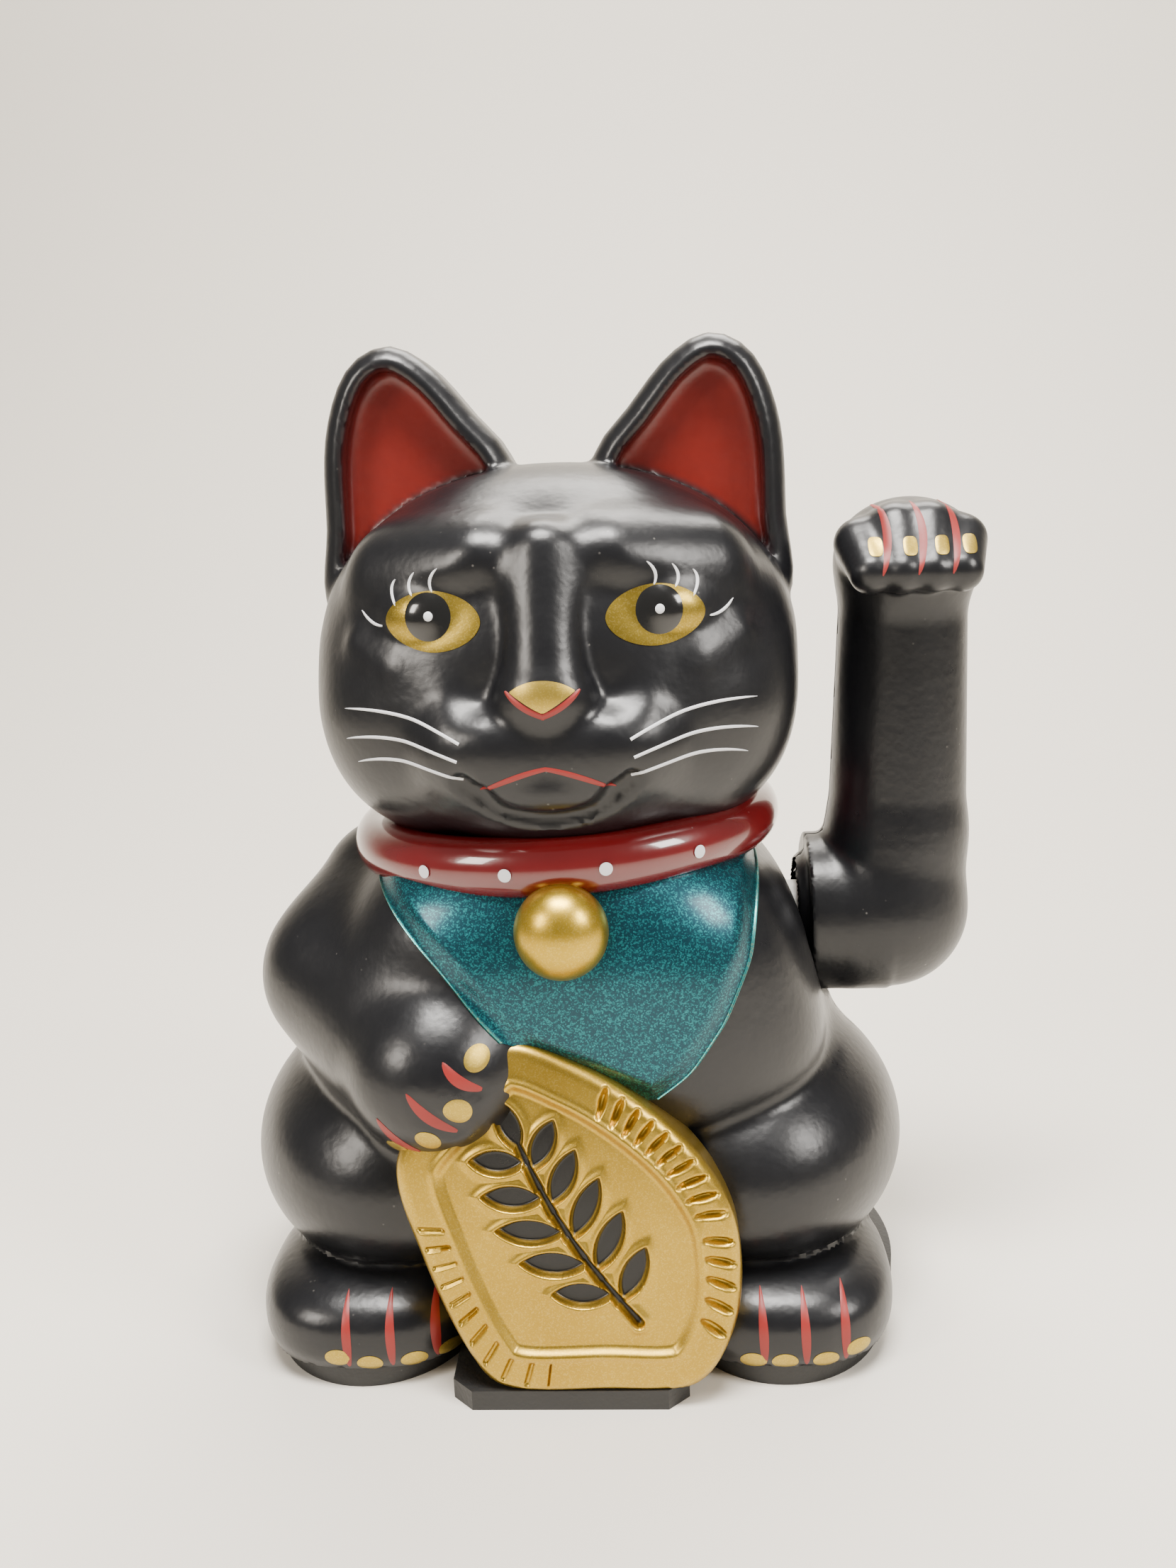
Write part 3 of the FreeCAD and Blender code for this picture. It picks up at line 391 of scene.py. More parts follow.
def curve_through(points, count):
    """Points along a smooth curve through three given ones."""
    start, middle, end = np.array(points, float)
    share = np.linspace(0, 1, count)[:, None]
    control = 2 * middle - (start + end) / 2
    return (1 - share) ** 2 * start + 2 * share * (1 - share) * control + share ** 2 * end


def stroke(field, points, width, rise=0.12, ends=(0.15, 0.15), count=22):
    """A brush stroke along a curve in x and z, widest in its middle, as a film over the surface."""
    middle = curve_through(points, count)
    along = np.gradient(middle, axis=0)
    along /= np.linalg.norm(along, axis=1)[:, None]
    aside = np.stack([-along[:, 1], along[:, 0]], 1)
    share = np.linspace(0, 1, count)
    swell = np.sin(math.pi * share) ** 0.6
    narrow = ends[0] + (ends[1] - ends[0]) * share
    half = width / 2 * (narrow + (1 - narrow) * swell)
    lanes = np.linspace(-1, 1, 5)
    flat = middle[:, None, :] + aside[:, None, :] * (half[:, None] * lanes)[:, :, None]
    height = rise * (1 - 0.6 * np.tile(lanes ** 2, count))
    return film(field, flat[..., 0].ravel(), flat[..., 1].ravel(), height, count, len(lanes))


def patch(field, centre, radii, rise=0.12, tilt=0.0, power=2.0, rings=9, spokes=48):
    """A round or oval dab of paint over the surface, squarer with a higher power."""
    share = np.linspace(0.02, 1, rings)[:, None]
    turn = np.linspace(0, 2 * math.pi, spokes, endpoint=False)[None]
    x = np.sign(np.cos(turn)) * np.abs(np.cos(turn)) ** (2 / power) * radii[0] * share
    z = np.sign(np.sin(turn)) * np.abs(np.sin(turn)) ** (2 / power) * radii[1] * share
    c, s = math.cos(math.radians(tilt)), math.sin(math.radians(tilt))
    across, up = centre[0] + c * x - s * z, centre[1] + s * x + c * z
    height = (rise * (1 - 0.5 * share ** 6)) * np.ones_like(turn)
    return film(field, across.ravel(), up.ravel(), height.ravel(), rings, spokes, closed=True)


def joined(parts):
    """Several sets of points and faces as one."""
    points, faces, start = [], [], 0
    for part_points, part_faces in parts:
        points.append(part_points)
        faces += [tuple(start + corner for corner in face) for face in part_faces]
        start += len(part_points)
    return np.concatenate(points), faces


def marks(name, parts, body, slot, material):
    """One piece from several sets of points and faces."""
    new_piece(name, *joined(parts), body, slot, material)


def capped_faces(rows, columns):
    """Quads over rings of points, with a flat cap on the first ring and on the last."""
    ends = [list(range(columns))[::-1], list(range((rows - 1) * columns, rows * columns))]
    return grid_faces(rows, columns, closed=True) + ends


def capped_rings(rows, columns, place):
    """Points and faces of a closed shape; place gives a point from a share along and an angle round."""
    points = [place(row / (rows - 1), 2 * math.pi * column / columns)
              for row in range(rows) for column in range(columns)]
    return points, capped_faces(rows, columns)


# ---- the figure ----

def head(figure):
    """The head without its ears: a squarish ball, soft brows, eyes in sockets, a nose and a muzzle."""
    figure.add(skull(), 4)
    figure.add(round_mass((0, -27.5, 92), (17, 9.5, 11)), 8)
    for side in (-1, 1):
        figure.add(round_mass((side * 8, -31, 93.5), (9, 6.5, 6.5)), 4)
        figure.add(limb((side * 9, -25.6, 118.4), (side * 22, -18.8, 117.6), 4.0, 4.0), 9)
        figure.carve(round_mass((side * 8.8, -36.2, 109.5), (3.4, 5.4, 9.0), turn=side * 10), 5)
        figure.carve(round_mass((side * 16.2, -36.5, 111.2), (9.4, 6.8, 6.2), turn=side * 18), 4)
        figure.add(round_mass((side * 15.8, -23.9, 111.2), (8.4, 6.6, 6.2), turn=side * 16), 1.0)
        figure.add(limb((side * 20.5, -26.6, 104.9), (side * 26, -23.2, 107.6), 1.7, 1.2), 4)
    figure.add(limb((0, -28.0, 119.5), (0, -32.3, 102.2), 4.4, 5.6), 3.5)
    figure.add(round_mass((0, -34.0, 100.8), (5.6, 4.0, 3.6)), 2.5)
    mouth(figure)


def mouth(figure):
    """The groove below the nose, the crease of the smile and the lower lip over it."""
    figure.carve(limb((0, -40.6, 98), (0, -40.3, 92), 0.9, 0.9), 2.2)
    across, up = np.array([smile(share) for share in np.linspace(-1, 1, 13)]).T
    crease = behind(figure, across, up) + np.array([0, 0.35, 0])
    for start, end in zip(crease, crease[1:]):
        figure.carve(limb(start, end, 1.15, 1.151), 1.6)
    figure.add(round_mass((0, -32.8, 88.2), (7.8, 4.6, 2.7)), 1.6)


def smile(share):
    """A point on the crease below the lip, from one corner of the mouth to the other."""
    return (11.2 * share, 84.4 + 5.4 * abs(share) ** 2.2)


EAR_CORNERS = [
    (34.9, 110), (35.2, 124), (34.4, 137), (30.6, 146.6), (24.2, 150.0),
    (17.8, 146.8), (11.6, 139.6), (6.6, 133.4), (5, 124), (18, 108),
]
EAR_POINTS = 44
EAR = closed_curve(EAR_CORNERS, EAR_POINTS)
EAR_RIM = 3.7


def ears(figure):
    """Two upright ears, each a round rim about a dish, and the crown rising between them."""
    for side in (-1, 1):
        figure.add(plate(EAR, 0, -5.5, 8.5, 4.4, side), 1.5)
        figure.carve(plate(EAR, -EAR_RIM, -9, -1.0, 1.5, side), 1.8)
    figure.add(skull(), 0.8)


def skull():
    """The main mass of the head, which also closes the feet of the ears."""
    return round_mass((0, -2, 103.5), (36.2, 31.0, 28.3), power=2.15, power_low=2.9)


def trunk(figure):
    """Belly, neck, rump, haunches and feet, with the tail curled against the back."""
    figure.add(round_mass((0, -3, 54), (38.4, 31.5, 27), power=2.9, taper=0.17), 4)
    figure.add(round_mass((0, 2, 80), (25.5, 25, 14)), 3)
    figure.add(round_mass((0, 8, 28), (45, 33.5, 36), power=2.3), 5)
    figure.add(round_mass((0, 6, 14), (45.5, 35.6, 30)), 4)
    for side in (-1, 1):
        figure.add(round_mass((side * 27, -1, 25.5), (25.5, 33, 20.5)), 2.0)
        figure.add(round_mass((side * 27.8, 3, 20.5), (23, 26, 24)), 2.0)
        figure.add(round_mass((side * 31, -17.6, 6.8), (17.6, 20.8, 8.6), power=2.6), 1.2)
    figure.add(ring((14, 35.5, 16), 13, 4.5), 1.5)


TOE_GROOVES = {-1: (-32.7, -26.3, -20.0), 1: (27.8, 33.8, 39.6)}


def toes(figure):
    """Three upright grooves that part the toes of each foot."""
    for places in TOE_GROOVES.values():
        for x in places:
            front = -41.2 + abs(abs(x) - 30) * 0.22
            figure.carve(limb((x, front + 1.2, 14.5), (x, front - 0.6, 2), 0.5, 1.6), 1.5)


def holding_arm(figure):
    """The arm on the left side, bent across the belly, with a paw on the coin's edge."""
    figure.add(limb((-28, 0, 64.5), (-34.2, -9, 54.5), 12.8, 12.9), 5)
    figure.add(limb((-34.2, -9, 54.5), (-20.5, -28.0, 46.5), 12.8, 11.0), 6)
    figure.add(round_mass((-17.5, -31.5, 46), (11.4, 10.2, 10.8)), 5)
    for start, end in PAW_GROOVES:
        figure.carve(limb((start[0], -43.6, start[1]), (end[0], -41.8, end[1]), 0.7, 1.6), 1.6)


PAW_GROOVES = [
    ((-15.7, 51.8), (-10.6, 47.4)),
    ((-20.8, 47.8), (-14.3, 41.4)),
    ((-25.6, 43.2), (-20.0, 37.6)),
]


def arm_room(figure):
    """The round seat in the right side where the raised arm turns."""
    figure.carve(rod_along_x(13.8, ARM_SEAT, 70, SEAM, AXLE_Z, 0.2), 0.3)


def sculpt_body():
    figure = Sculpt()
    trunk(figure)
    holding_arm(figure)
    toes(figure)
    head(figure)
    ears(figure)
    arm_room(figure)
    return figure


PAW_X = 53.6
ARM_TOES = (46.0, 51.1, 56.2, 61.1)


def sculpt_arm():
    """The raised arm: a stub on the hub, a bent elbow, a straight limb and a paw turned forward."""
    figure = Sculpt()
    x, z = 51.0, AXLE_Z
    figure.add(rod_along_x(12.9, ARM_START, x, SEAM, z, 0.5), 0)
    figure.add(limb((46, SEAM, z), (51.0, SEAM, z + 0.8), 12.9, 13.0), 0.5)
    figure.add(limb((51.0, SEAM, z + 0.8), (52.9, SEAM, 72), 13.0, 11.1), 1.5)
    figure.add(limb((52.9, SEAM, 72), (53.7, SEAM, 110), 11.0, 9.9), 1.8)
    figure.add(round_mass((53.9, 1.8, 116.2), (11.1, 10.6, 8.8)), 4)
    for toe in ARM_TOES:
        lean = (toe - PAW_X) * 0.12
        top = 120.6 - 0.04 * (toe - PAW_X) ** 2
        knuckle, tip = (toe, -4.0 + abs(lean), top), (toe - lean, -9.4 + abs(lean), 114.2)
        figure.add(limb(knuckle, tip, 3.9, 3.2), 1.6)
    for left, right in zip(ARM_TOES, ARM_TOES[1:]):
        x = (left + right) / 2
        bend = (x + 0.4, -14.6, 117.5)
        figure.carve(limb((x - 0.3, -9.5, 125.5), bend, 0.5, 0.7), 1.3)
        figure.carve(limb(bend, (x - 0.6, -12.6, 109.5), 0.7, 0.8), 1.3)
    return figure


# ---- shells: the sculpted surfaces as hollow mouldings, split at the seam ----

WALL = 1.8
ARM_WALL = 1.5
BODY_STEP = 0.78
ARM_STEP = 0.5
EDGE_SHARE = 0.4
SNAP_SHARE = 0.3


def half_shell(field, wall, hole, side, lowest):
    """Half of a skin under a sculpted surface: side is -1 in front of the seam and 1 behind it."""
    hole_distance = hole[0]

    def distance(points):
        outer = field(points)
        skin = np.maximum(np.maximum(outer, -(outer + wall)), -hole_distance(points))
        return np.maximum(np.maximum(skin, side * (SEAM - points[:, 1])), lowest - points[:, 2])

    return distance


def moulding(field, wall, hole, side, low, high, step, lowest):
    """Points and faces of half a shell, with its outer skin smoothed and its cut faces flat."""
    points, quads = surface(half_shell(field, wall, hole, side, lowest), low, high, step)
    clear = (side * (points[:, 1] - SEAM) > step) & (points[:, 2] > lowest + step)
    depth = np.abs(field(points))
    outer = np.flatnonzero((clear & (depth < wall / 2)) | (depth < EDGE_SHARE * step))
    points[outer] = settle(field, points[outer], most=0.3)
    points[np.abs(points[:, 1] - SEAM) < step * SNAP_SHARE, 1] = SEAM
    points[np.abs(points[:, 2] - lowest) < step * SNAP_SHARE, 2] = lowest
    return points, quads


def paint_mask(piece, name, values):
    layer = piece.data.attributes.new(name, "FLOAT", "POINT")
    layer.data.foreach_set("value", np.asarray(values, np.float32))


def ear_paint(points):
    """How much red is sprayed on each point: full in the dish of the ear, none on its rim."""
    amount = np.zeros(len(points), np.float32)
    high = np.flatnonzero((points[:, 2] > 112) & (np.abs(points[:, 1] + 1.5) < 4.5))
    spot = points[high]
    off_skull = skull()[0](spot)
    for side in (-1, 1):
        edge = (EAR * np.array([side, 1.0])).astype(np.float32)
        depth = outline_distance(spot[:, [0, 2]], edge) + EAR_RIM
        painted = (1 - smooth_step(-1.3, 0.7, depth)) * smooth_step(0.0, 1.4, off_skull)
        amount[high] = np.maximum(amount[high], painted)
    return amount


def shell_pair(names, figure, wall, hole, box, lap, step, lowest, body, paint):
    """The front and rear mouldings of a figure; they stand in for the two plain shells."""
    (left, front, bottom), (right, rear, top) = box
    halves = ((names[0], -1, front, SEAM + lap), (names[1], 1, SEAM - lap, rear))
    for name, side, near, far in halves:
        low, high = (left, near, bottom), (right, far, top)
        points, faces = moulding(figure, wall, hole, side, low, high, step, lowest)
        piece = new_piece(f"{name}_moulding", points, faces, body, "shell_black", black_plastic)
        paint_mask(piece, "ear_red", paint(points))
        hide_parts(name)


def body_shells(body):
    hole = rod_along_x(6.8, 30, 42, SEAM, AXLE_Z, 0.1)
    box = ((-56, -46, BASE_TOP - 2), (56, 44.5, 153))
    shell_pair(("front_shell", "rear_shell"), body, WALL, hole, box, 2, BODY_STEP, BASE_TOP,
               "housing", ear_paint)


def arm_shells(arm):
    bore = rod_along_x(5.0, 36, 43, SEAM, AXLE_Z, 0.1)
    box = ((36.5, -18, 43), (67.5, 20, 128))
    shell_pair(("arm_front_shell", "arm_rear_shell"), arm, ARM_WALL, bore, box, 1, ARM_STEP, 0,
               "swing_arm", lambda points: np.zeros(len(points)))


# ---- finishes ----

def group(name, inputs, outputs, build):
    """A shader node group with float inputs {name: default} and outputs {name: socket type}."""
    tree = bpy.data.node_groups.new(name, "ShaderNodeTree")
    for label, default in inputs.items():
        socket = tree.interface.new_socket(label, in_out="INPUT", socket_type="NodeSocketFloat")
        socket.default_value = default
    for label, kind in outputs.items():
        tree.interface.new_socket(label, in_out="OUTPUT", socket_type=kind)
    entry, leave = tree.nodes.new("NodeGroupInput"), tree.nodes.new("NodeGroupOutput")
    for label, socket in build(tree, entry.outputs).items():
        tree.links.new(socket, leave.inputs[label])
    return tree


def node(tree, kind, inputs=None, **settings):
    """A node with its settings, and with numbers or links on the sockets named in inputs."""
    made = tree.nodes.new(f"ShaderNode{kind}")
    for setting, choice in settings.items():
        setattr(made, setting, choice)
    for label, source in (inputs or {}).items():
        socket = made.inputs[label]
        if isinstance(source, bpy.types.NodeSocket):
            tree.links.new(source, socket)
        else:
            socket.default_value = source
    return made


BUMP_DEPTH = 0.0002


def noise(tree, where, scale, detail=2.0, roughness=0.5):
    inputs = {"Vector": where, "Scale": scale, "Detail": detail, "Roughness": roughness}
    return node(tree, "TexNoise", inputs).outputs["Fac"]


def reckon(tree, operation, *parts):
    """A sum done by one Math node on numbers or links."""
    return node(tree, "Math", dict(enumerate(parts)), operation=operation).outputs[0]


def bump(tree, height, strength):
    inputs = {"Height": height, "Strength": strength, "Distance": BUMP_DEPTH}
    return node(tree, "Bump", inputs).outputs["Normal"]


def object_place(tree):
    return node(tree, "TexCoord").outputs["Object"]


def spread(tree, source, low, high, out_low, out_high):
    """A value stretched from one range to another and held inside it."""
    inputs = {"Value": source, "From Min": low, "From Max": high, "To Min": out_low, "To Max": out_high}
    return node(tree, "MapRange", inputs).outputs["Result"]


def build_moulded_grain(tree, given):
    """Orange peel of a moulded or sprayed surface: shallow, about a millimetre across."""
    where = object_place(tree)
    peel = noise(tree, where, given["Scale"], 1.5)
    fine = noise(tree, where, 9000.0, 1.0)
    both = reckon(tree, "MULTIPLY_ADD", fine, 0.12, peel)
    return {"Normal": bump(tree, both, given["Depth"])}


def build_handling(tree, given):
    """Roughness that changes slowly over the surface, with small dull smears and specks of dust."""
    where = object_place(tree)
    slow = noise(tree, where, 60.0, 3.0)
    smear = reckon(tree, "MULTIPLY", noise(tree, where, 420.0, 4.0, 0.65), 0.4)
    mixed = reckon(tree, "MULTIPLY_ADD", slow, 0.6, smear)
    change = spread(tree, mixed, 0.3, 0.7, -1.0, 1.0)
    rough = reckon(tree, "MULTIPLY_ADD", change, given["Spread"], given["Roughness"])
    cells = node(tree, "TexVoronoi", {"Vector": where, "Scale": 520.0, "Randomness": 1.0})
    speck = spread(tree, cells.outputs["Distance"], 0.05, 0.11, 1.0, 0.0)
    rare = spread(tree, noise(tree, where, 95.0), 0.60, 0.66, 0.0, 1.0)
    return {"Roughness": rough, "Dust": reckon(tree, "MULTIPLY", speck, rare)}


def build_flakes(tree, given):
    """Small metal flakes in a lacquer: each cell has its own brightness and its own tilt."""
    where = object_place(tree)
    cells = node(tree, "TexVoronoi", {"Vector": where, "Scale": given["Scale"], "Randomness": 1.0})
    parts = node(tree, "SeparateColor", {"Color": cells.outputs["Color"]})
    bright = spread(tree, parts.outputs["Red"], 0.55, 1.0, 0.0, 1.0)
    return {"Sparkle": bright, "Normal": bump(tree, parts.outputs["Green"], given["Tilt"])}


DUST_COLOR = (0.42, 0.40, 0.37)
FLOAT, VECTOR = "NodeSocketFloat", "NodeSocketVector"
moulded_grain = group("Moulded grain", {"Scale": 900.0, "Depth": 0.1}, {"Normal": VECTOR},
                      build_moulded_grain)
handling = group("Handling", {"Roughness": 0.4, "Spread": 0.05}, {"Roughness": FLOAT, "Dust": FLOAT},
                 build_handling)
flakes = group("Metal flakes", {"Scale": 4000.0, "Tilt": 0.3}, {"Sparkle": FLOAT, "Normal": VECTOR},
               build_flakes)


def place_group(tree, what, values):
    made = tree.nodes.new("ShaderNodeGroup")
    made.node_tree = what
    for label, number in values.items():
        made.inputs[label].default_value = number
    return made


def finish(name, color, roughness, metallic=0.0, grain=(900.0, 0.1), wear=0.05, dust=0.25, coat=0.0,
           coat_roughness=0.05, tint=None):
    """A material for one finish: its own colour and gloss, with moulded grain, handling and dust."""
    made = bpy.data.materials.new(name)
    made.use_nodes = True
    tree = made.node_tree
    shader = tree.nodes["Principled BSDF"]
    shader.inputs["Metallic"].default_value = metallic
    shader.inputs["Coat Weight"].default_value = coat
    shader.inputs["Coat Roughness"].default_value = coat_roughness
    surface_grain = place_group(tree, moulded_grain, {"Scale": grain[0], "Depth": grain[1]})
    tree.links.new(surface_grain.outputs["Normal"], shader.inputs["Normal"])
    touched = place_group(tree, handling, {"Roughness": roughness, "Spread": wear})
    tree.links.new(touched.outputs["Roughness"], shader.inputs["Roughness"])
    tint = tint or tuple(min(1.0, part * 1.25 + 0.002) for part in color)
    ground = mix_colors(tree, noise(tree, object_place(tree), 130.0, 3.0), color, tint)
    amount = reckon(tree, "MULTIPLY", touched.outputs["Dust"], dust)
    dusty = mix_colors(tree, amount, ground, DUST_COLOR)
    tree.links.new(dusty, shader.inputs["Base Color"])
    return made, tree, shader, dusty


def mix_colors(tree, amount, first, second):
    made = node(tree, "Mix", data_type="RGBA", clamp_factor=True)
    for socket, source in ((made.inputs[0], amount), (made.inputs[6], first), (made.inputs[7], second)):
        if isinstance(source, bpy.types.NodeSocket):
            tree.links.new(source, socket)
        elif isinstance(source, tuple):
            socket.default_value = (*source, 1.0)
        else:
            socket.default_value = source
    return made.outputs[2]


def plain(name, color, roughness, **more):
    return finish(name, color, roughness, **more)[0]


def shell_plastic():
    """Satin black plastic; the dishes of the ears are sprayed a dull red with a soft edge."""
    made, tree, shader, dusty = finish("satin black plastic", (0.0030, 0.0032, 0.0044), 0.31,
                                       grain=(700.0, 0.22), wear=0.05, dust=0.2)
    amount = node(tree, "Attribute", attribute_name="ear_red").outputs["Fac"]
    mottle = noise(tree, object_place(tree), 500.0, 3.0)
    red = mix_colors(tree, mottle, (0.16, 0.009, 0.006), (0.20, 0.014, 0.009))
    tree.links.new(mix_colors(tree, amount, dusty, red), shader.inputs["Base Color"])
    return made


def teal_lacquer():
    """Deep teal lacquer full of fine bright flakes, under a clear coat."""
    made, tree, shader, _ = finish("teal flake lacquer", (0.0, 0.055, 0.075), 0.36, metallic=0.75,
                                   wear=0.04, dust=0.1, coat=0.35, coat_roughness=0.2)
    sparkle = place_group(tree, flakes, {"Scale": 5200.0, "Tilt": 0.4})
    bright = mix_colors(tree, sparkle.outputs["Sparkle"], (0.001, 0.040, 0.060), (0.01, 0.19, 0.21))
    tree.links.new(bright, shader.inputs["Base Color"])
    tree.links.new(sparkle.outputs["Normal"], shader.inputs["Normal"])
    return made


GOLD_METAL = 0.92


def gold_lacquer(name, color, tint, roughness):
    """Satin gold paint: fine flakes dull its shine and scatter small glints."""
    made, tree, shader, dusty = finish(name, color, roughness, metallic=GOLD_METAL, wear=0.05,
                                       dust=0.1, grain=(1500.0, 0.1), tint=tint)
    sparkle = place_group(tree, flakes, {"Scale": 6000.0, "Tilt": 0.16})
    glint = reckon(tree, "MULTIPLY", sparkle.outputs["Sparkle"], 0.25)
    lit = mix_colors(tree, glint, dusty, (0.80, 0.60, 0.18))
    tree.links.new(lit, shader.inputs["Base Color"])
    tree.links.new(sparkle.outputs["Normal"], shader.inputs["Normal"])
    return made, tree, shader, lit


def coin_gold():
    """The coin's gold, with black in its sunken ornament and a soft painted shade where the paw lies over
    it.
    """
    made, tree, shader, lit = gold_lacquer("coin gold", (0.40, 0.25, 0.028), (0.50, 0.33, 0.045), 0.31)
    ink = node(tree, "Attribute", attribute_name="ink").outputs["Fac"]
    # Painted shade: the gold is mixed towards dark brown near the paw that lies over the coin.
    shade = node(tree, "Attribute", attribute_name="painted_paw_shade").outputs["Fac"]
    shaded = mix_colors(tree, shade, lit, (0.05, 0.03, 0.01))
    tree.links.new(mix_colors(tree, ink, shaded, (0.004, 0.004, 0.004)), shader.inputs["Base Color"])
    tree.links.new(spread(tree, ink, 0.0, 1.0, GOLD_METAL, 0.0), shader.inputs["Metallic"])
    return made


black_plastic = shell_plastic()
red_gloss = plain("glossy deep red", (0.115, 0.003, 0.004), 0.22, coat=1.0, coat_roughness=0.06,
                  grain=(500.0, 0.15), dust=0.3)
red_line = plain("brushed red line", (0.21, 0.012, 0.010), 0.45, dust=0.0)
teal = teal_lacquer()
# A lighter, brighter teal for the bib's borders: a painted highlight along the bib's edges.
teal_edge_highlight = gold_lacquer("teal edge with painted highlight", (0.02, 0.20, 0.21), (0.05, 0.33, 0.32), 0.34)[0]
bell_gold = gold_lacquer("bell gold", (0.44, 0.28, 0.02), (0.52, 0.35, 0.04), 0.30)[0]
paint_gold = gold_lacquer("painted gold", (0.42, 0.29, 0.045), (0.50, 0.36, 0.07), 0.40)[0]
eye_gold = gold_lacquer("eye gold", (0.28, 0.19, 0.022), (0.38, 0.27, 0.04), 0.32)[0]
gold_coin = coin_gold()
ink_black = plain("glossy black ink", (0.004, 0.004, 0.004), 0.18, coat=0.6, dust=0.0)
white_line = plain("white brush line", (0.62, 0.63, 0.66), 0.5, dust=0.0)

SLOT_FINISHES = {
    "shell_black": black_plastic,
    "base_black": plain("base black plastic", (0.010, 0.010, 0.010), 0.5, grain=(1600.0, 0.4)),
    "gold_paint": paint_gold, "red_paint": red_gloss, "teal_paint": teal, "white_paint": white_line,
    "ink_black": ink_black,
    "bracket_white": plain("bracket white plastic", (0.70, 0.69, 0.65), 0.45, grain=(1200.0, 0.2)),
    "steel": plain("bright steel", (0.55, 0.55, 0.56), 0.28, metallic=1.0, grain=(2500.0, 0.15)),
    "magnet_nickel": plain("nickel plate", (0.62, 0.60, 0.55), 0.16, metallic=1.0, grain=(900.0, 0.05)),
    "copper_wire": plain("enamelled copper", (0.42, 0.13, 0.04), 0.3, metallic=1.0, grain=(5000.0, 0.6)),
    "board_green": plain("board green", (0.02, 0.12, 0.04), 0.3, coat=0.4, grain=(2500.0, 0.2)),
    "chip_black": plain("chip black", (0.012, 0.012, 0.013), 0.6, grain=(3000.0, 0.4)),
    "cell_wrap": plain("cell wrap", (0.30, 0.05, 0.03), 0.25, coat=0.5),
    "resistor_tan": plain("resistor tan", (0.50, 0.36, 0.20), 0.4),
    "wire_red": plain("red wire", (0.45, 0.02, 0.02), 0.4),
    "wire_black": plain("black wire", (0.012, 0.012, 0.012), 0.4),
}


def finish_frame():
    """Give each node that is carried over the finish of its material slot."""
    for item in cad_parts.values():
        for holder in item.material_slots:
            label = holder.material.name.split(".")[0] if holder.material else "base_black"
            holder.material = SLOT_FINISHES.get(label, SLOT_FINISHES["base_black"])


# ---- coin ----

COIN_MIDDLE = (0.4, -40.9, 26.8)
COIN_LEAN = 8.5
COIN_DEPTH = 9.0
COIN_OUTLINE = [
    (-8.5, 26.2), (2.5, 22.8), (12.5, 16.2), (20.0, 8.2), (24.0, -1.0), (23.6, -14.0), (17.6, -23.6),
    (4.4, -24.1), (-9.0, -23.8), (-14.6, -18.6), (-20.9, -4.4), (-24.2, 9.0), (-17.0, 18.6),
]


def segment_distance(points, start, end, start_radius, end_radius):
    """Distance in the flat to a stroke that tapers from one round end to another."""
    start, end = np.array(start, float), np.array(end, float)
    edge, reach = end - start, points - start
    share = np.clip((reach @ edge) / (edge @ edge), 0, 1)
    away = np.linalg.norm(reach - share[:, None] * edge, axis=1)
    return away - (start_radius + (end_radius - start_radius) * share)


SPRIG_ANGLE = 121.5
SPRIG_LENGTH = 34.0
LEAF_PAIRS = 5


def sprig(points):
    """Distance to a leafy sprig laid along the coin: a bowed stem, pairs of leaves and a bud."""
    c, s = math.cos(math.radians(SPRIG_ANGLE)), math.sin(math.radians(SPRIG_ANGLE))
    along, aside = np.array([c, s]), np.array([-s, c])

    def at(share):
        bow = 1.6 * math.sin(math.pi * share)
        return along * SPRIG_LENGTH * (share - 0.5) + aside * bow + np.array([0.8, 0.6])

    best = np.full(len(points), 1e9)
    joints = [at(share) for share in np.linspace(0, 0.92, 9)]
    for start, end in zip(joints, joints[1:]):
        best = np.minimum(best, segment_distance(points, start, end, 0.95, 0.8))
    for pair in range(LEAF_PAIRS):
        share = 0.13 + 0.165 * pair
        reach = 10.6 - 0.9 * abs(pair - 1.6)
        for side in (-1, 1):
            root = at(share + 0.02 * side)
            tip = root + (along * 0.56 + aside * side * 0.83) * reach
            best = np.minimum(best, leaf_distance(points, root, tip, 1.95))
    return np.minimum(best, leaf_distance(points, at(0.86), at(1.1), 1.9))


def leaf_distance(points, root, tip, half_width):
    """Distance in the flat to a leaf: where two circles through its root and its tip overlap."""
    length = np.linalg.norm(tip - root)
    radius = (length ** 2 / 4 + half_width ** 2) / (2 * half_width)
    aside = np.array([root[1] - tip[1], tip[0] - root[0]]) / length * (radius - half_width)
    middle = (root + tip) / 2
    away = [np.linalg.norm(points - middle - side * aside, axis=1) for side in (-1, 1)]
    return np.maximum(*away) - radius


def coin_relief(flat, inward, turn):
    """Height of the coin's face: a wide border with cut notches, a fine ridge and a sunken field."""
    height = 0.25 * smooth_step(0, 2.2, inward)
    height += 0.35 * np.exp(-((inward - 5.6) / 0.55) ** 2)
    height -= 0.75 * smooth_step(5.9, 7.2, inward)
    notch = np.abs(((turn + 3) / NOTCH_STEP + 0.5) % 1 - 0.5) * NOTCH_STEP
    lens = smooth_step(0.0, 1.0, 1 - (notch / 1.9) ** 2 - ((inward - 3.0) / 2.6) ** 2)
    height -= np.where((turn < 78) | (turn > 318), 1.2 * lens, 0)
    rung = np.abs((turn / RUNG_STEP + 0.5) % 1 - 0.5) * RUNG_STEP
    ladder = smooth_step(1.3, 0.6, rung) * smooth_step(0.9, 1.5, inward) * smooth_step(5.0, 4.4, inward)
    height -= np.where((turn > 178) & (turn < 262), 0.7 * ladder, 0)
    ornament = sprig(flat)
    lip = 0.42 * np.exp(-(np.maximum(ornament, 0) / 0.75) ** 2) * (ornament > -0.2)
    cut = 1.15 * smooth_step(0.15, -0.75, ornament)
    return height + lip - cut, ornament


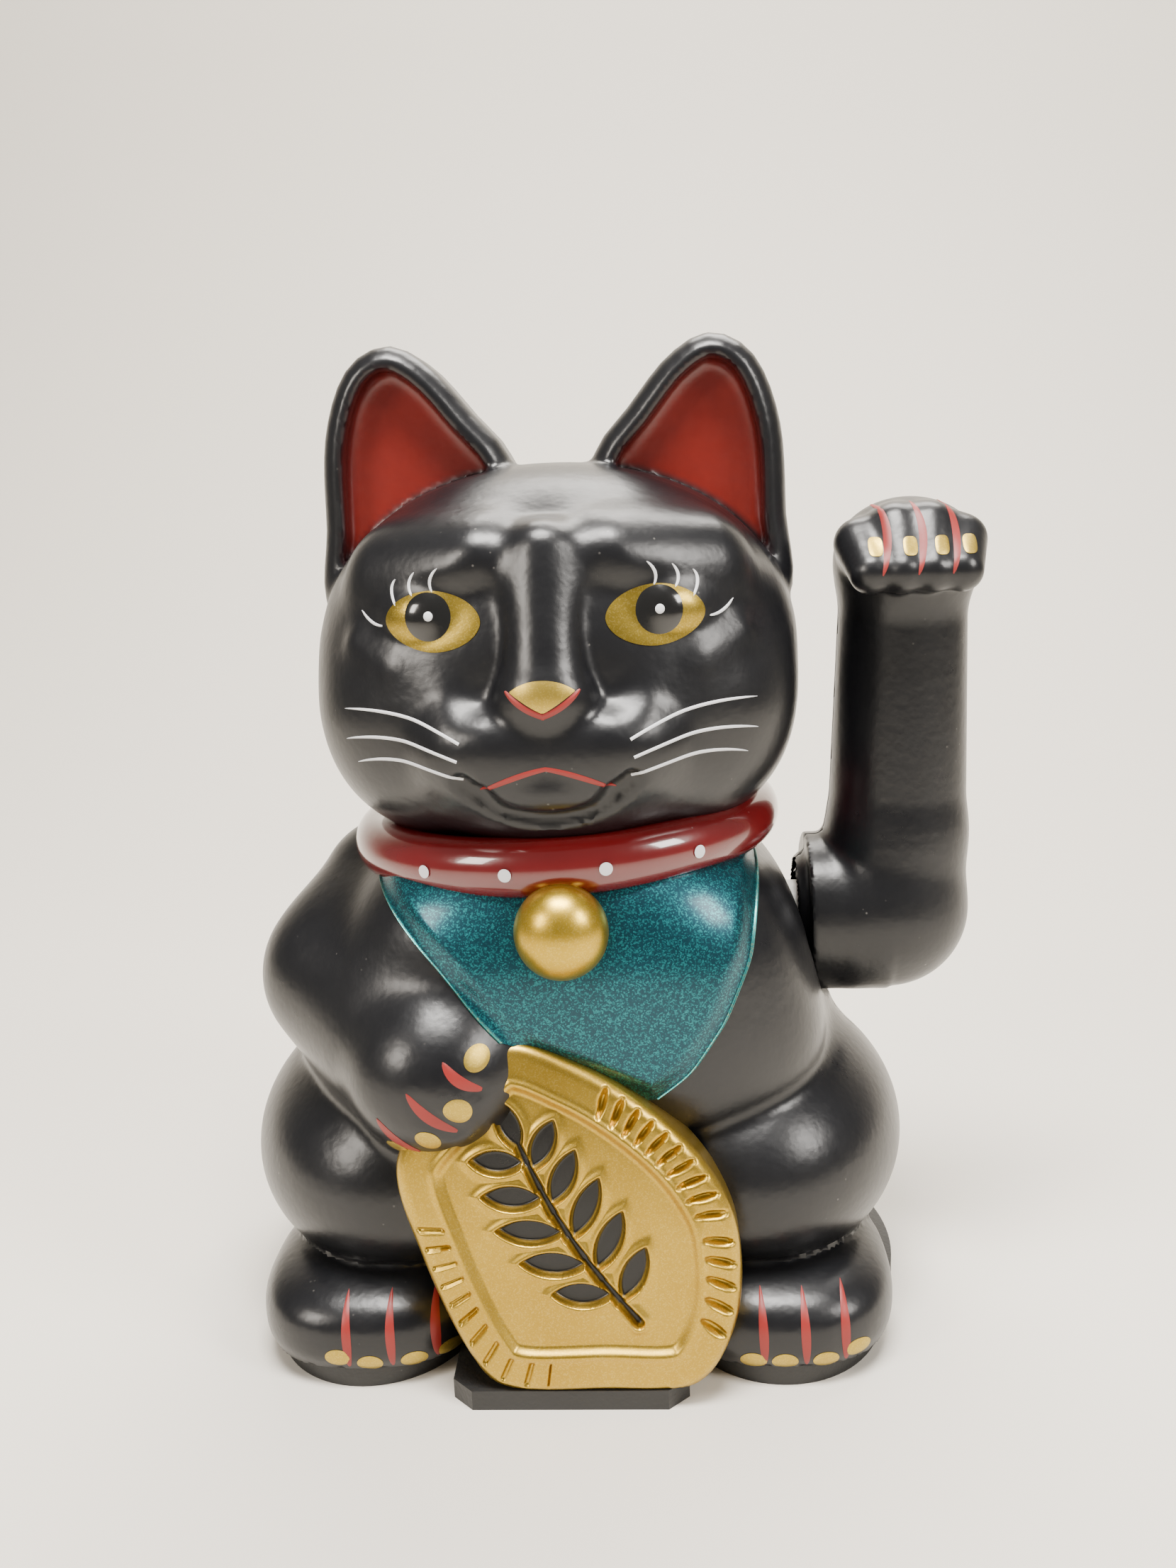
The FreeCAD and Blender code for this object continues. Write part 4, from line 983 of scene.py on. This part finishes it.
NOTCH_STEP = 7.6
RUNG_STEP = 8.2
COIN_RINGS = 150
COIN_SPOKES = 520


def coin_point(x, z, out):
    """A place on the coin, given across and up its face, and how far it stands out."""
    c, s = math.cos(math.radians(COIN_LEAN)), math.sin(math.radians(COIN_LEAN))
    middle_x, middle_y, middle_z = COIN_MIDDLE
    return np.stack([middle_x + x, middle_y + s * z - c * out, middle_z + c * z + s * out], 1)


def coin():
    """The oval coin: its face in rings from the middle out, then a side wall and a flat back."""
    rim = closed_curve(COIN_OUTLINE, COIN_SPOKES)
    share = np.linspace(0.004, 1, COIN_RINGS)
    flat = (share[:, None, None] * rim[None]).reshape(-1, 2)
    inward = -outline_distance(flat, rim[::4]).astype(float)
    inward = np.maximum(inward, 0)
    turn = np.degrees(np.arctan2(flat[:, 1], flat[:, 0])) % 360
    height, ornament = coin_relief(flat, inward, turn)
    round_over = 1.6 * (1 - np.sqrt(np.clip(1 - (1 - inward / 1.6).clip(0, 1) ** 2, 0, 1)))
    dome = -0.0022 * (flat ** 2).sum(1)
    front = coin_point(flat[:, 0], flat[:, 1], height + dome - round_over)
    back_rings = [coin_point(*rim.T, -depth * np.ones(len(rim))) for depth in (3.5, 6.0, COIN_DEPTH)]
    points = np.concatenate([front] + back_rings)
    faces = capped_faces(COIN_RINGS + len(back_rings), COIN_SPOKES)
    lowest = points[:, 2] < BASE_TOP
    points[lowest, 2] = BASE_TOP + 0.02
    piece = new_piece("gold_coin", points, faces, "housing", "gold_paint", gold_coin, 70)
    extra = len(points) - len(front)
    ink = smooth_step(-0.35, -0.62, ornament)
    paint_mask(piece, "ink", np.concatenate([ink, np.zeros(extra)]))
    # Painted shade under the holding paw: how much the coin's gold is darkened towards where the paw lies
    # over its edge.
    near_paw = np.linalg.norm(flat - np.array([-15.5, 15.5]), axis=1)
    shade = 0.75 * smooth_step(7.5, 1.5, near_paw)
    paint_mask(piece, "painted_paw_shade", np.concatenate([shade, np.zeros(extra)]))


# ---- bell, collar and bib ----

BELL_MIDDLE = (0.9, -34.4, 68.2)
BELL_RADIUS = 6.6


def bell():
    """A round bell, slightly flattened, resting on the bib."""
    def place(share, turn):
        lift = -0.5 * math.pi + math.pi * (0.02 + 0.96 * share)
        out = BELL_RADIUS * math.cos(lift)
        return (BELL_MIDDLE[0] + out * math.cos(turn),
                BELL_MIDDLE[1] - 0.92 * BELL_RADIUS * math.sin(lift),
                BELL_MIDDLE[2] + 1.03 * out * math.sin(turn))

    new_piece("bell", *capped_rings(40, 72, place), "housing", "gold_paint", bell_gold)


COLLAR_MIDDLE = (0.0, -1.2, 76.6)
COLLAR_RADII = (29.6, 29.4)
COLLAR_SECTION = (3.9, 4.3)
COLLAR_SLOPE = math.tan(math.radians(2.4))
COLLAR_GAP = 0.15


def collar_half(name, start, end):
    """Half of a smooth round band about the neck, a little higher on the side of the raised arm."""
    def place(share, around):
        turn = math.radians(start + (end - start) * share)
        out = COLLAR_SECTION[0] * math.cos(around)
        x = (COLLAR_RADII[0] + out) * math.cos(turn)
        y = (COLLAR_RADII[1] + out) * math.sin(turn)
        z = COLLAR_SECTION[1] * math.sin(around) + x * COLLAR_SLOPE
        return COLLAR_MIDDLE[0] + x, COLLAR_MIDDLE[1] + y, COLLAR_MIDDLE[2] + z

    new_piece(name, *capped_rings(150, 28, place), "housing", "red_paint", red_gloss)


def collar():
    beyond = math.degrees(math.asin((SEAM - COLLAR_MIDDLE[1]) / COLLAR_RADII[1]))
    collar_half("collar_front", 180 - beyond, 360 + beyond)
    collar_half("collar_rear", beyond + COLLAR_GAP, 180 - beyond - COLLAR_GAP)


COLLAR_DOTS = (-18.6, -6.6, 7.4, 20.4)
DOT_RADIUS = 0.95
DOT_SPOKES = 24


def collar_dots():
    """Round white dots along the front of the collar."""
    parts = []
    outside = COLLAR_RADII[0] + COLLAR_SECTION[0]
    for x in COLLAR_DOTS:
        turn = -math.acos(x / outside)
        out = np.array([math.cos(turn), math.sin(turn), 0])
        aside = np.array([-math.sin(turn), math.cos(turn), 0])
        middle = np.array(COLLAR_MIDDLE) + np.array([0, 0, x * COLLAR_SLOPE]) + out * (outside + 0.03)
        around = np.linspace(0, 2 * math.pi, DOT_SPOKES, endpoint=False)[:, None]
        circle = middle + (aside * np.cos(around) + np.array([0, 0, 1]) * np.sin(around)) * DOT_RADIUS
        points = np.concatenate([[middle + out * 0.12], circle, [middle - out * 0.3]])
        pairs = [(1 + i, 1 + (i + 1) % DOT_SPOKES) for i in range(DOT_SPOKES)]
        faces = [(0, a, b) for a, b in pairs] + [(DOT_SPOKES + 1, b, a) for a, b in pairs]
        parts.append((points, faces))
    marks("collar_dots", parts, "housing", "white_paint", white_line)


BIB_LEFT = [
    (-31.0, 76.5), (-27.7, 73.6), (-17.0, 62.9), (-12.5, 57.5), (-8.0, 52.6), (4.0, 47.2), (12.4, 42.6),
]
BIB_RIGHT = [
    (29.6, 76.5), (29.0, 71.5), (27.2, 62.0), (23.4, 53.7), (18.4, 46.6), (13.6, 42.9), (12.6, 42.5),
]
BIB_TOP, BIB_BOTTOM = 76.4, 42.7
BIB_ROWS, BIB_COLUMNS = 90, 110
BORDER_ROWS, BORDER_HALF_WIDTH = 60, 0.28


def bib_edge(corners, heights, eased=True):
    """How far across an edge of the bib lies at each height, with its corners eased."""
    corners = np.array(corners)[::-1]
    across = np.interp(heights, corners[:, 1], corners[:, 0])
    if eased:
        across[2:-2] = np.convolve(across, np.ones(5) / 5, "valid")
    return across


def bib(body):
    """The teal bib over the chest, padded inside its edges, with a fine raised border in a lighter teal
    that is a painted highlight.
    """
    heights = np.linspace(BIB_TOP, BIB_BOTTOM, BIB_ROWS)
    left, right = bib_edge(BIB_LEFT, heights, eased=False), bib_edge(BIB_RIGHT, heights)
    share = np.linspace(0, 1, BIB_COLUMNS)
    across = (left[:, None] + (right - left)[:, None] * share).ravel()
    up = np.repeat(heights, BIB_COLUMNS)
    rim = np.array([*zip(left, heights), *zip(right[::-1], heights[::-1])], np.float32)
    inward = -outline_distance(np.stack([across, up], 1).astype(np.float32), rim)
    rise = 0.15 + 1.15 * smooth_step(0.0, 3.6, inward)
    cloth = film(body, across, up, rise, BIB_ROWS, BIB_COLUMNS, sink=0.6)
    marks("bib", [cloth], "housing", "teal_paint", teal)
    # The raised borders are painted a lighter teal than the bib, as a painted highlight along its edges.
    for name, corners in (("bib_border_left", BIB_LEFT[1:5]), ("bib_border_right", BIB_RIGHT[:6])):
        heights = np.linspace(corners[0][1], corners[-1][1], BORDER_ROWS)
        lanes = np.linspace(-1, 1, 5)
        x = (bib_edge(corners, heights)[:, None] + BORDER_HALF_WIDTH * lanes).ravel()
        z = np.repeat(heights, len(lanes))
        height = 0.42 * (1 - 0.7 * np.tile(lanes ** 2, BORDER_ROWS))
        border = film(body, x, z, height, BORDER_ROWS, len(lanes))
        marks(name, [border], "housing", "teal_paint", teal_edge_highlight)


# ---- painted marks ----

NOSE_HALF_WIDTH = 4.2
EYE_MIDDLE = (15.1, 111.1)
PUPIL = (15.6, 111.7)
WHISKERS = [
    ((11.4, 95.4), (19.9, 98.5), (28.8, 99.0)),
    ((11.8, 93.0), (20.9, 95.2), (28.9, 94.7)),
    ((11.3, 90.3), (20.2, 92.2), (27.4, 91.4)),
]
LASHES = [
    ((22.5, 110.5), (24.3, 111.0), (25.8, 112.5)),
    ((20.1, 113.0), (20.9, 115.2), (20.3, 116.8)),
    ((17.8, 114.5), (18.3, 116.1), (17.5, 117.7)),
    ((15.0, 115.0), (15.2, 116.7), (14.1, 118.2)),
]


def mirrored(points):
    return [(-x, z) for x, z in points]


def eyes(body):
    for side, label in ((-1, "left"), (1, "right")):
        middle = (EYE_MIDDLE[0] * side, EYE_MIDDLE[1])
        gold = patch(body, middle, (6.7, 4.1), 0.18, tilt=side * 2, power=1.85, rings=14, spokes=72)
        marks(f"eye_{label}", [gold], "housing", "gold_paint", eye_gold)
        spot = (PUPIL[0] * side, PUPIL[1])
        pupil = patch(body, spot, (3.25, 3.3), 0.32, rings=8)
        marks(f"pupil_{label}", [pupil], "housing", "ink_black", ink_black)
        glint = patch(body, (spot[0] + 0.1, spot[1] + 0.15), (0.72, 0.72), 0.46, rings=4, spokes=28)
        marks(f"eye_light_{label}", [glint], "housing", "white_paint", white_line)


def whiskers_and_lashes(body):
    sets = (("whiskers", WHISKERS, 0.46, (0.9, 0.12), 30), ("eyelashes", LASHES, 0.42, (0.5, 0.15), 14))
    for name, curves, width, ends, count in sets:
        lines = [stroke(body, line, width, ends=ends, count=count)
                 for points in curves for line in (points, mirrored(points))]
        marks(name, lines, "housing", "white_paint", white_line)


def nose_and_mouth(body):
    """A gold nose with a red V below it, and a red line along the upper lip."""
    rows, columns = 12, 26
    share = np.linspace(0, 1, rows)[:, None]
    across = np.linspace(-NOSE_HALF_WIDTH, NOSE_HALF_WIDTH, columns)
    top = 103.6 - 1.4 * np.abs(across / NOSE_HALF_WIDTH) ** 2.2
    bottom = 99.4 + 2.6 * np.abs(across / NOSE_HALF_WIDTH) ** 1.15
    up = top + (bottom - top) * share
    gold = film(body, np.tile(across, rows), up.ravel(), np.full(rows * columns, 0.16), rows, columns)
    marks("nose", [gold], "housing", "gold_paint", paint_gold)
    red = []
    for side in (-1, 1):
        nostril = [(side * 4.9, 102.2), (side * 2.6, 100.2), (-side * 0.25, 98.8)]
        lip = [(side * 9.2, 88.7), (side * 4.2, 90.7), (-side * 0.15, 91.8)]
        red.append(stroke(body, nostril, 0.85, 0.2, (0.3, 0.9)))
        red.append(stroke(body, lip, 0.75, 0.14, (0.2, 0.7)))
    marks("nose_and_lip_lines", red, "housing", "red_paint", red_line)


def foot_paint(body):
    """Red in the grooves between the toes, and a gold claw at the tip of each toe."""
    red, gold = [], []
    for side, places in TOE_GROOVES.items():
        for x in places:
            line = [(x - 0.2, 13.4), (x, 8.2), (x + 0.1, 3.6)]
            red.append(stroke(body, line, 1.35, 0.1, (0.05, 0.25)))
        edge = [places[0] - 4.6, *places, places[-1] + 5.0]
        for left, right in zip(edge, edge[1:]):
            middle = (left + right) / 2 + (0.8 if left == edge[0] else -0.6 if right == edge[-1] else 0)
            outer = left == edge[0] and side < 0 or right == edge[-1] and side > 0
            spot = (middle, 5.2 if outer else 4.2)
            gold.append(patch(body, spot, (1.9, 1.35), 0.14, spokes=36, rings=6))
    marks("foot_lines", red, "housing", "red_paint", red_line)
    marks("foot_claws", gold, "housing", "gold_paint", paint_gold)


def holding_paw_paint(body):
    """Red between the toes that grip the coin, and a gold claw on each toe."""
    red = []
    for start, end in PAW_GROOVES:
        middle = ((start[0] + end[0]) / 2 - 0.4, (start[1] + end[1]) / 2 - 0.5)
        red.append(stroke(body, [start, middle, end], 1.5, 0.1, (0.05, 0.3)))
    marks("holding_paw_lines", red, "housing", "red_paint", red_line)
    spots = [(-11.2, 51.6), (-13.9, 44.9), (-18.4, 40.3), (-23.3, 37.6)]
    sizes = [(1.7, 1.7), (2.0, 1.8), (1.9, 1.5), (1.9, 1.2)]
    gold = [patch(body, spot, size, 0.14, tilt=-35, spokes=36, rings=6)
            for spot, size in zip(spots, sizes)]
    marks("holding_paw_claws", gold, "housing", "gold_paint", paint_gold)


def raised_paw_paint(arm):
    """Curved red stripes between the toes and four gold claws with flat tops."""
    red, gold = [], []
    for left, right in zip(ARM_TOES, ARM_TOES[1:]):
        x = (left + right) / 2
        stripe = [(x - 0.3, 124.3), (x + 0.75, 119.8), (x - 0.3, 113.9)]
        red.append(stroke(arm, stripe, 1.15, 0.1, (0.1, 0.15)))
    for x in (47.5, 52.4, 57.0, 61.2):
        gold.append(patch(arm, (x, 118.0), (1.05, 1.35), 0.14, power=3.2, spokes=40, rings=6))
    marks("raised_paw_lines", red, "swing_arm", "red_paint", red_line)
    marks("raised_paw_claws", gold, "swing_arm", "gold_paint", paint_gold)


# ---- floor, light and camera ----

def studio():
    """A pale floor that curves up into a backdrop."""
    wide, near, far, high, bend = 1.6, -1.2, 0.55, 1.5, 0.35
    profile = [(near, 0.0), (far - bend, 0.0)]
    for step in range(1, 13):
        turn = math.radians(90 * step / 12)
        profile.append((far - bend + bend * math.sin(turn), bend - bend * math.cos(turn)))
    profile.append((far, high))
    points = [(x, y, z) for y, z in profile for x in (-wide, wide)]
    mesh = bpy.data.meshes.new("floor")
    mesh.from_pydata(points, [], grid_faces(len(profile), 2))
    mesh.shade_smooth()
    floor = bpy.data.objects.new("floor", mesh)
    bpy.context.scene.collection.objects.link(floor)
    paper = bpy.data.materials.new("pale paper")
    paper.use_nodes = True
    shader = paper.node_tree.nodes["Principled BSDF"]
    shader.inputs["Base Color"].default_value = (0.72, 0.68, 0.61, 1)
    shader.inputs["Roughness"].default_value = 0.6
    mesh.materials.append(paper)


def lamp(name, place, target, size, power, color=(1, 1, 1)):
    """A square soft light that faces a target."""
    light = bpy.data.lights.new(name, "AREA")
    light.shape = "RECTANGLE"
    light.size, light.size_y = size
    light.energy = power
    light.color = color
    item = bpy.data.objects.new(name, light)
    item.location = place
    item.rotation_euler = (Vector(target) - Vector(place)).to_track_quat("-Z", "Y").to_euler()
    bpy.context.scene.collection.objects.link(item)


def lights():
    middle = (0, 0, 0.08)
    lamp("top", (0.0, -0.14, 0.62), middle, (0.30, 0.16), 9.0, (1.0, 0.97, 0.93))
    lamp("left", (-0.60, -0.50, 0.50), middle, (0.22, 0.30), 5.0, (1.0, 0.93, 0.84))
    lamp("right", (0.60, -0.36, 0.52), middle, (0.20, 0.28), 5.5, (1.0, 0.96, 0.91))
    lamp("back", (0.1, 0.42, 0.75), (0, 0.1, 0), (0.6, 0.3), 9.0, (1.0, 0.96, 0.90))
    world = bpy.data.worlds.new("room")
    world.use_nodes = True
    background = world.node_tree.nodes["Background"]
    background.inputs["Color"].default_value = (1.0, 0.95, 0.88, 1)
    background.inputs["Strength"].default_value = 0.28
    bpy.context.scene.world = world


CAMERA_PLACE = Vector((15.8, -220.4, 128.1)) * MM
CAMERA_FORWARD = Vector((-0.0546, 0.9771, -0.2055))
CAMERA_ROLL = -2.2
CAMERA_LENS, SENSOR = 32.4, 36.0


def camera():
    made = bpy.data.cameras.new("camera")
    made.sensor_fit = "VERTICAL"
    made.sensor_height = SENSOR
    made.lens = CAMERA_LENS
    made.clip_start, made.clip_end = 0.01, 20
    item = bpy.data.objects.new("camera", made)
    turn = CAMERA_FORWARD.to_track_quat("-Z", "Y").to_matrix().to_4x4()
    roll = Matrix.Rotation(math.radians(CAMERA_ROLL), 4, "Z")
    item.matrix_world = Matrix.Translation(CAMERA_PLACE) @ turn @ roll
    bpy.context.scene.collection.objects.link(item)
    bpy.context.scene.camera = item


camera()
lights()
studio()
finish_frame()

body = sculpt_body()
arm = sculpt_arm()
body_shells(body)
arm_shells(arm)
coin()
bell()
collar()
collar_dots()
bib(body)
eyes(body)
whiskers_and_lashes(body)
nose_and_mouth(body)
foot_paint(body)
holding_paw_paint(body)
raised_paw_paint(arm)
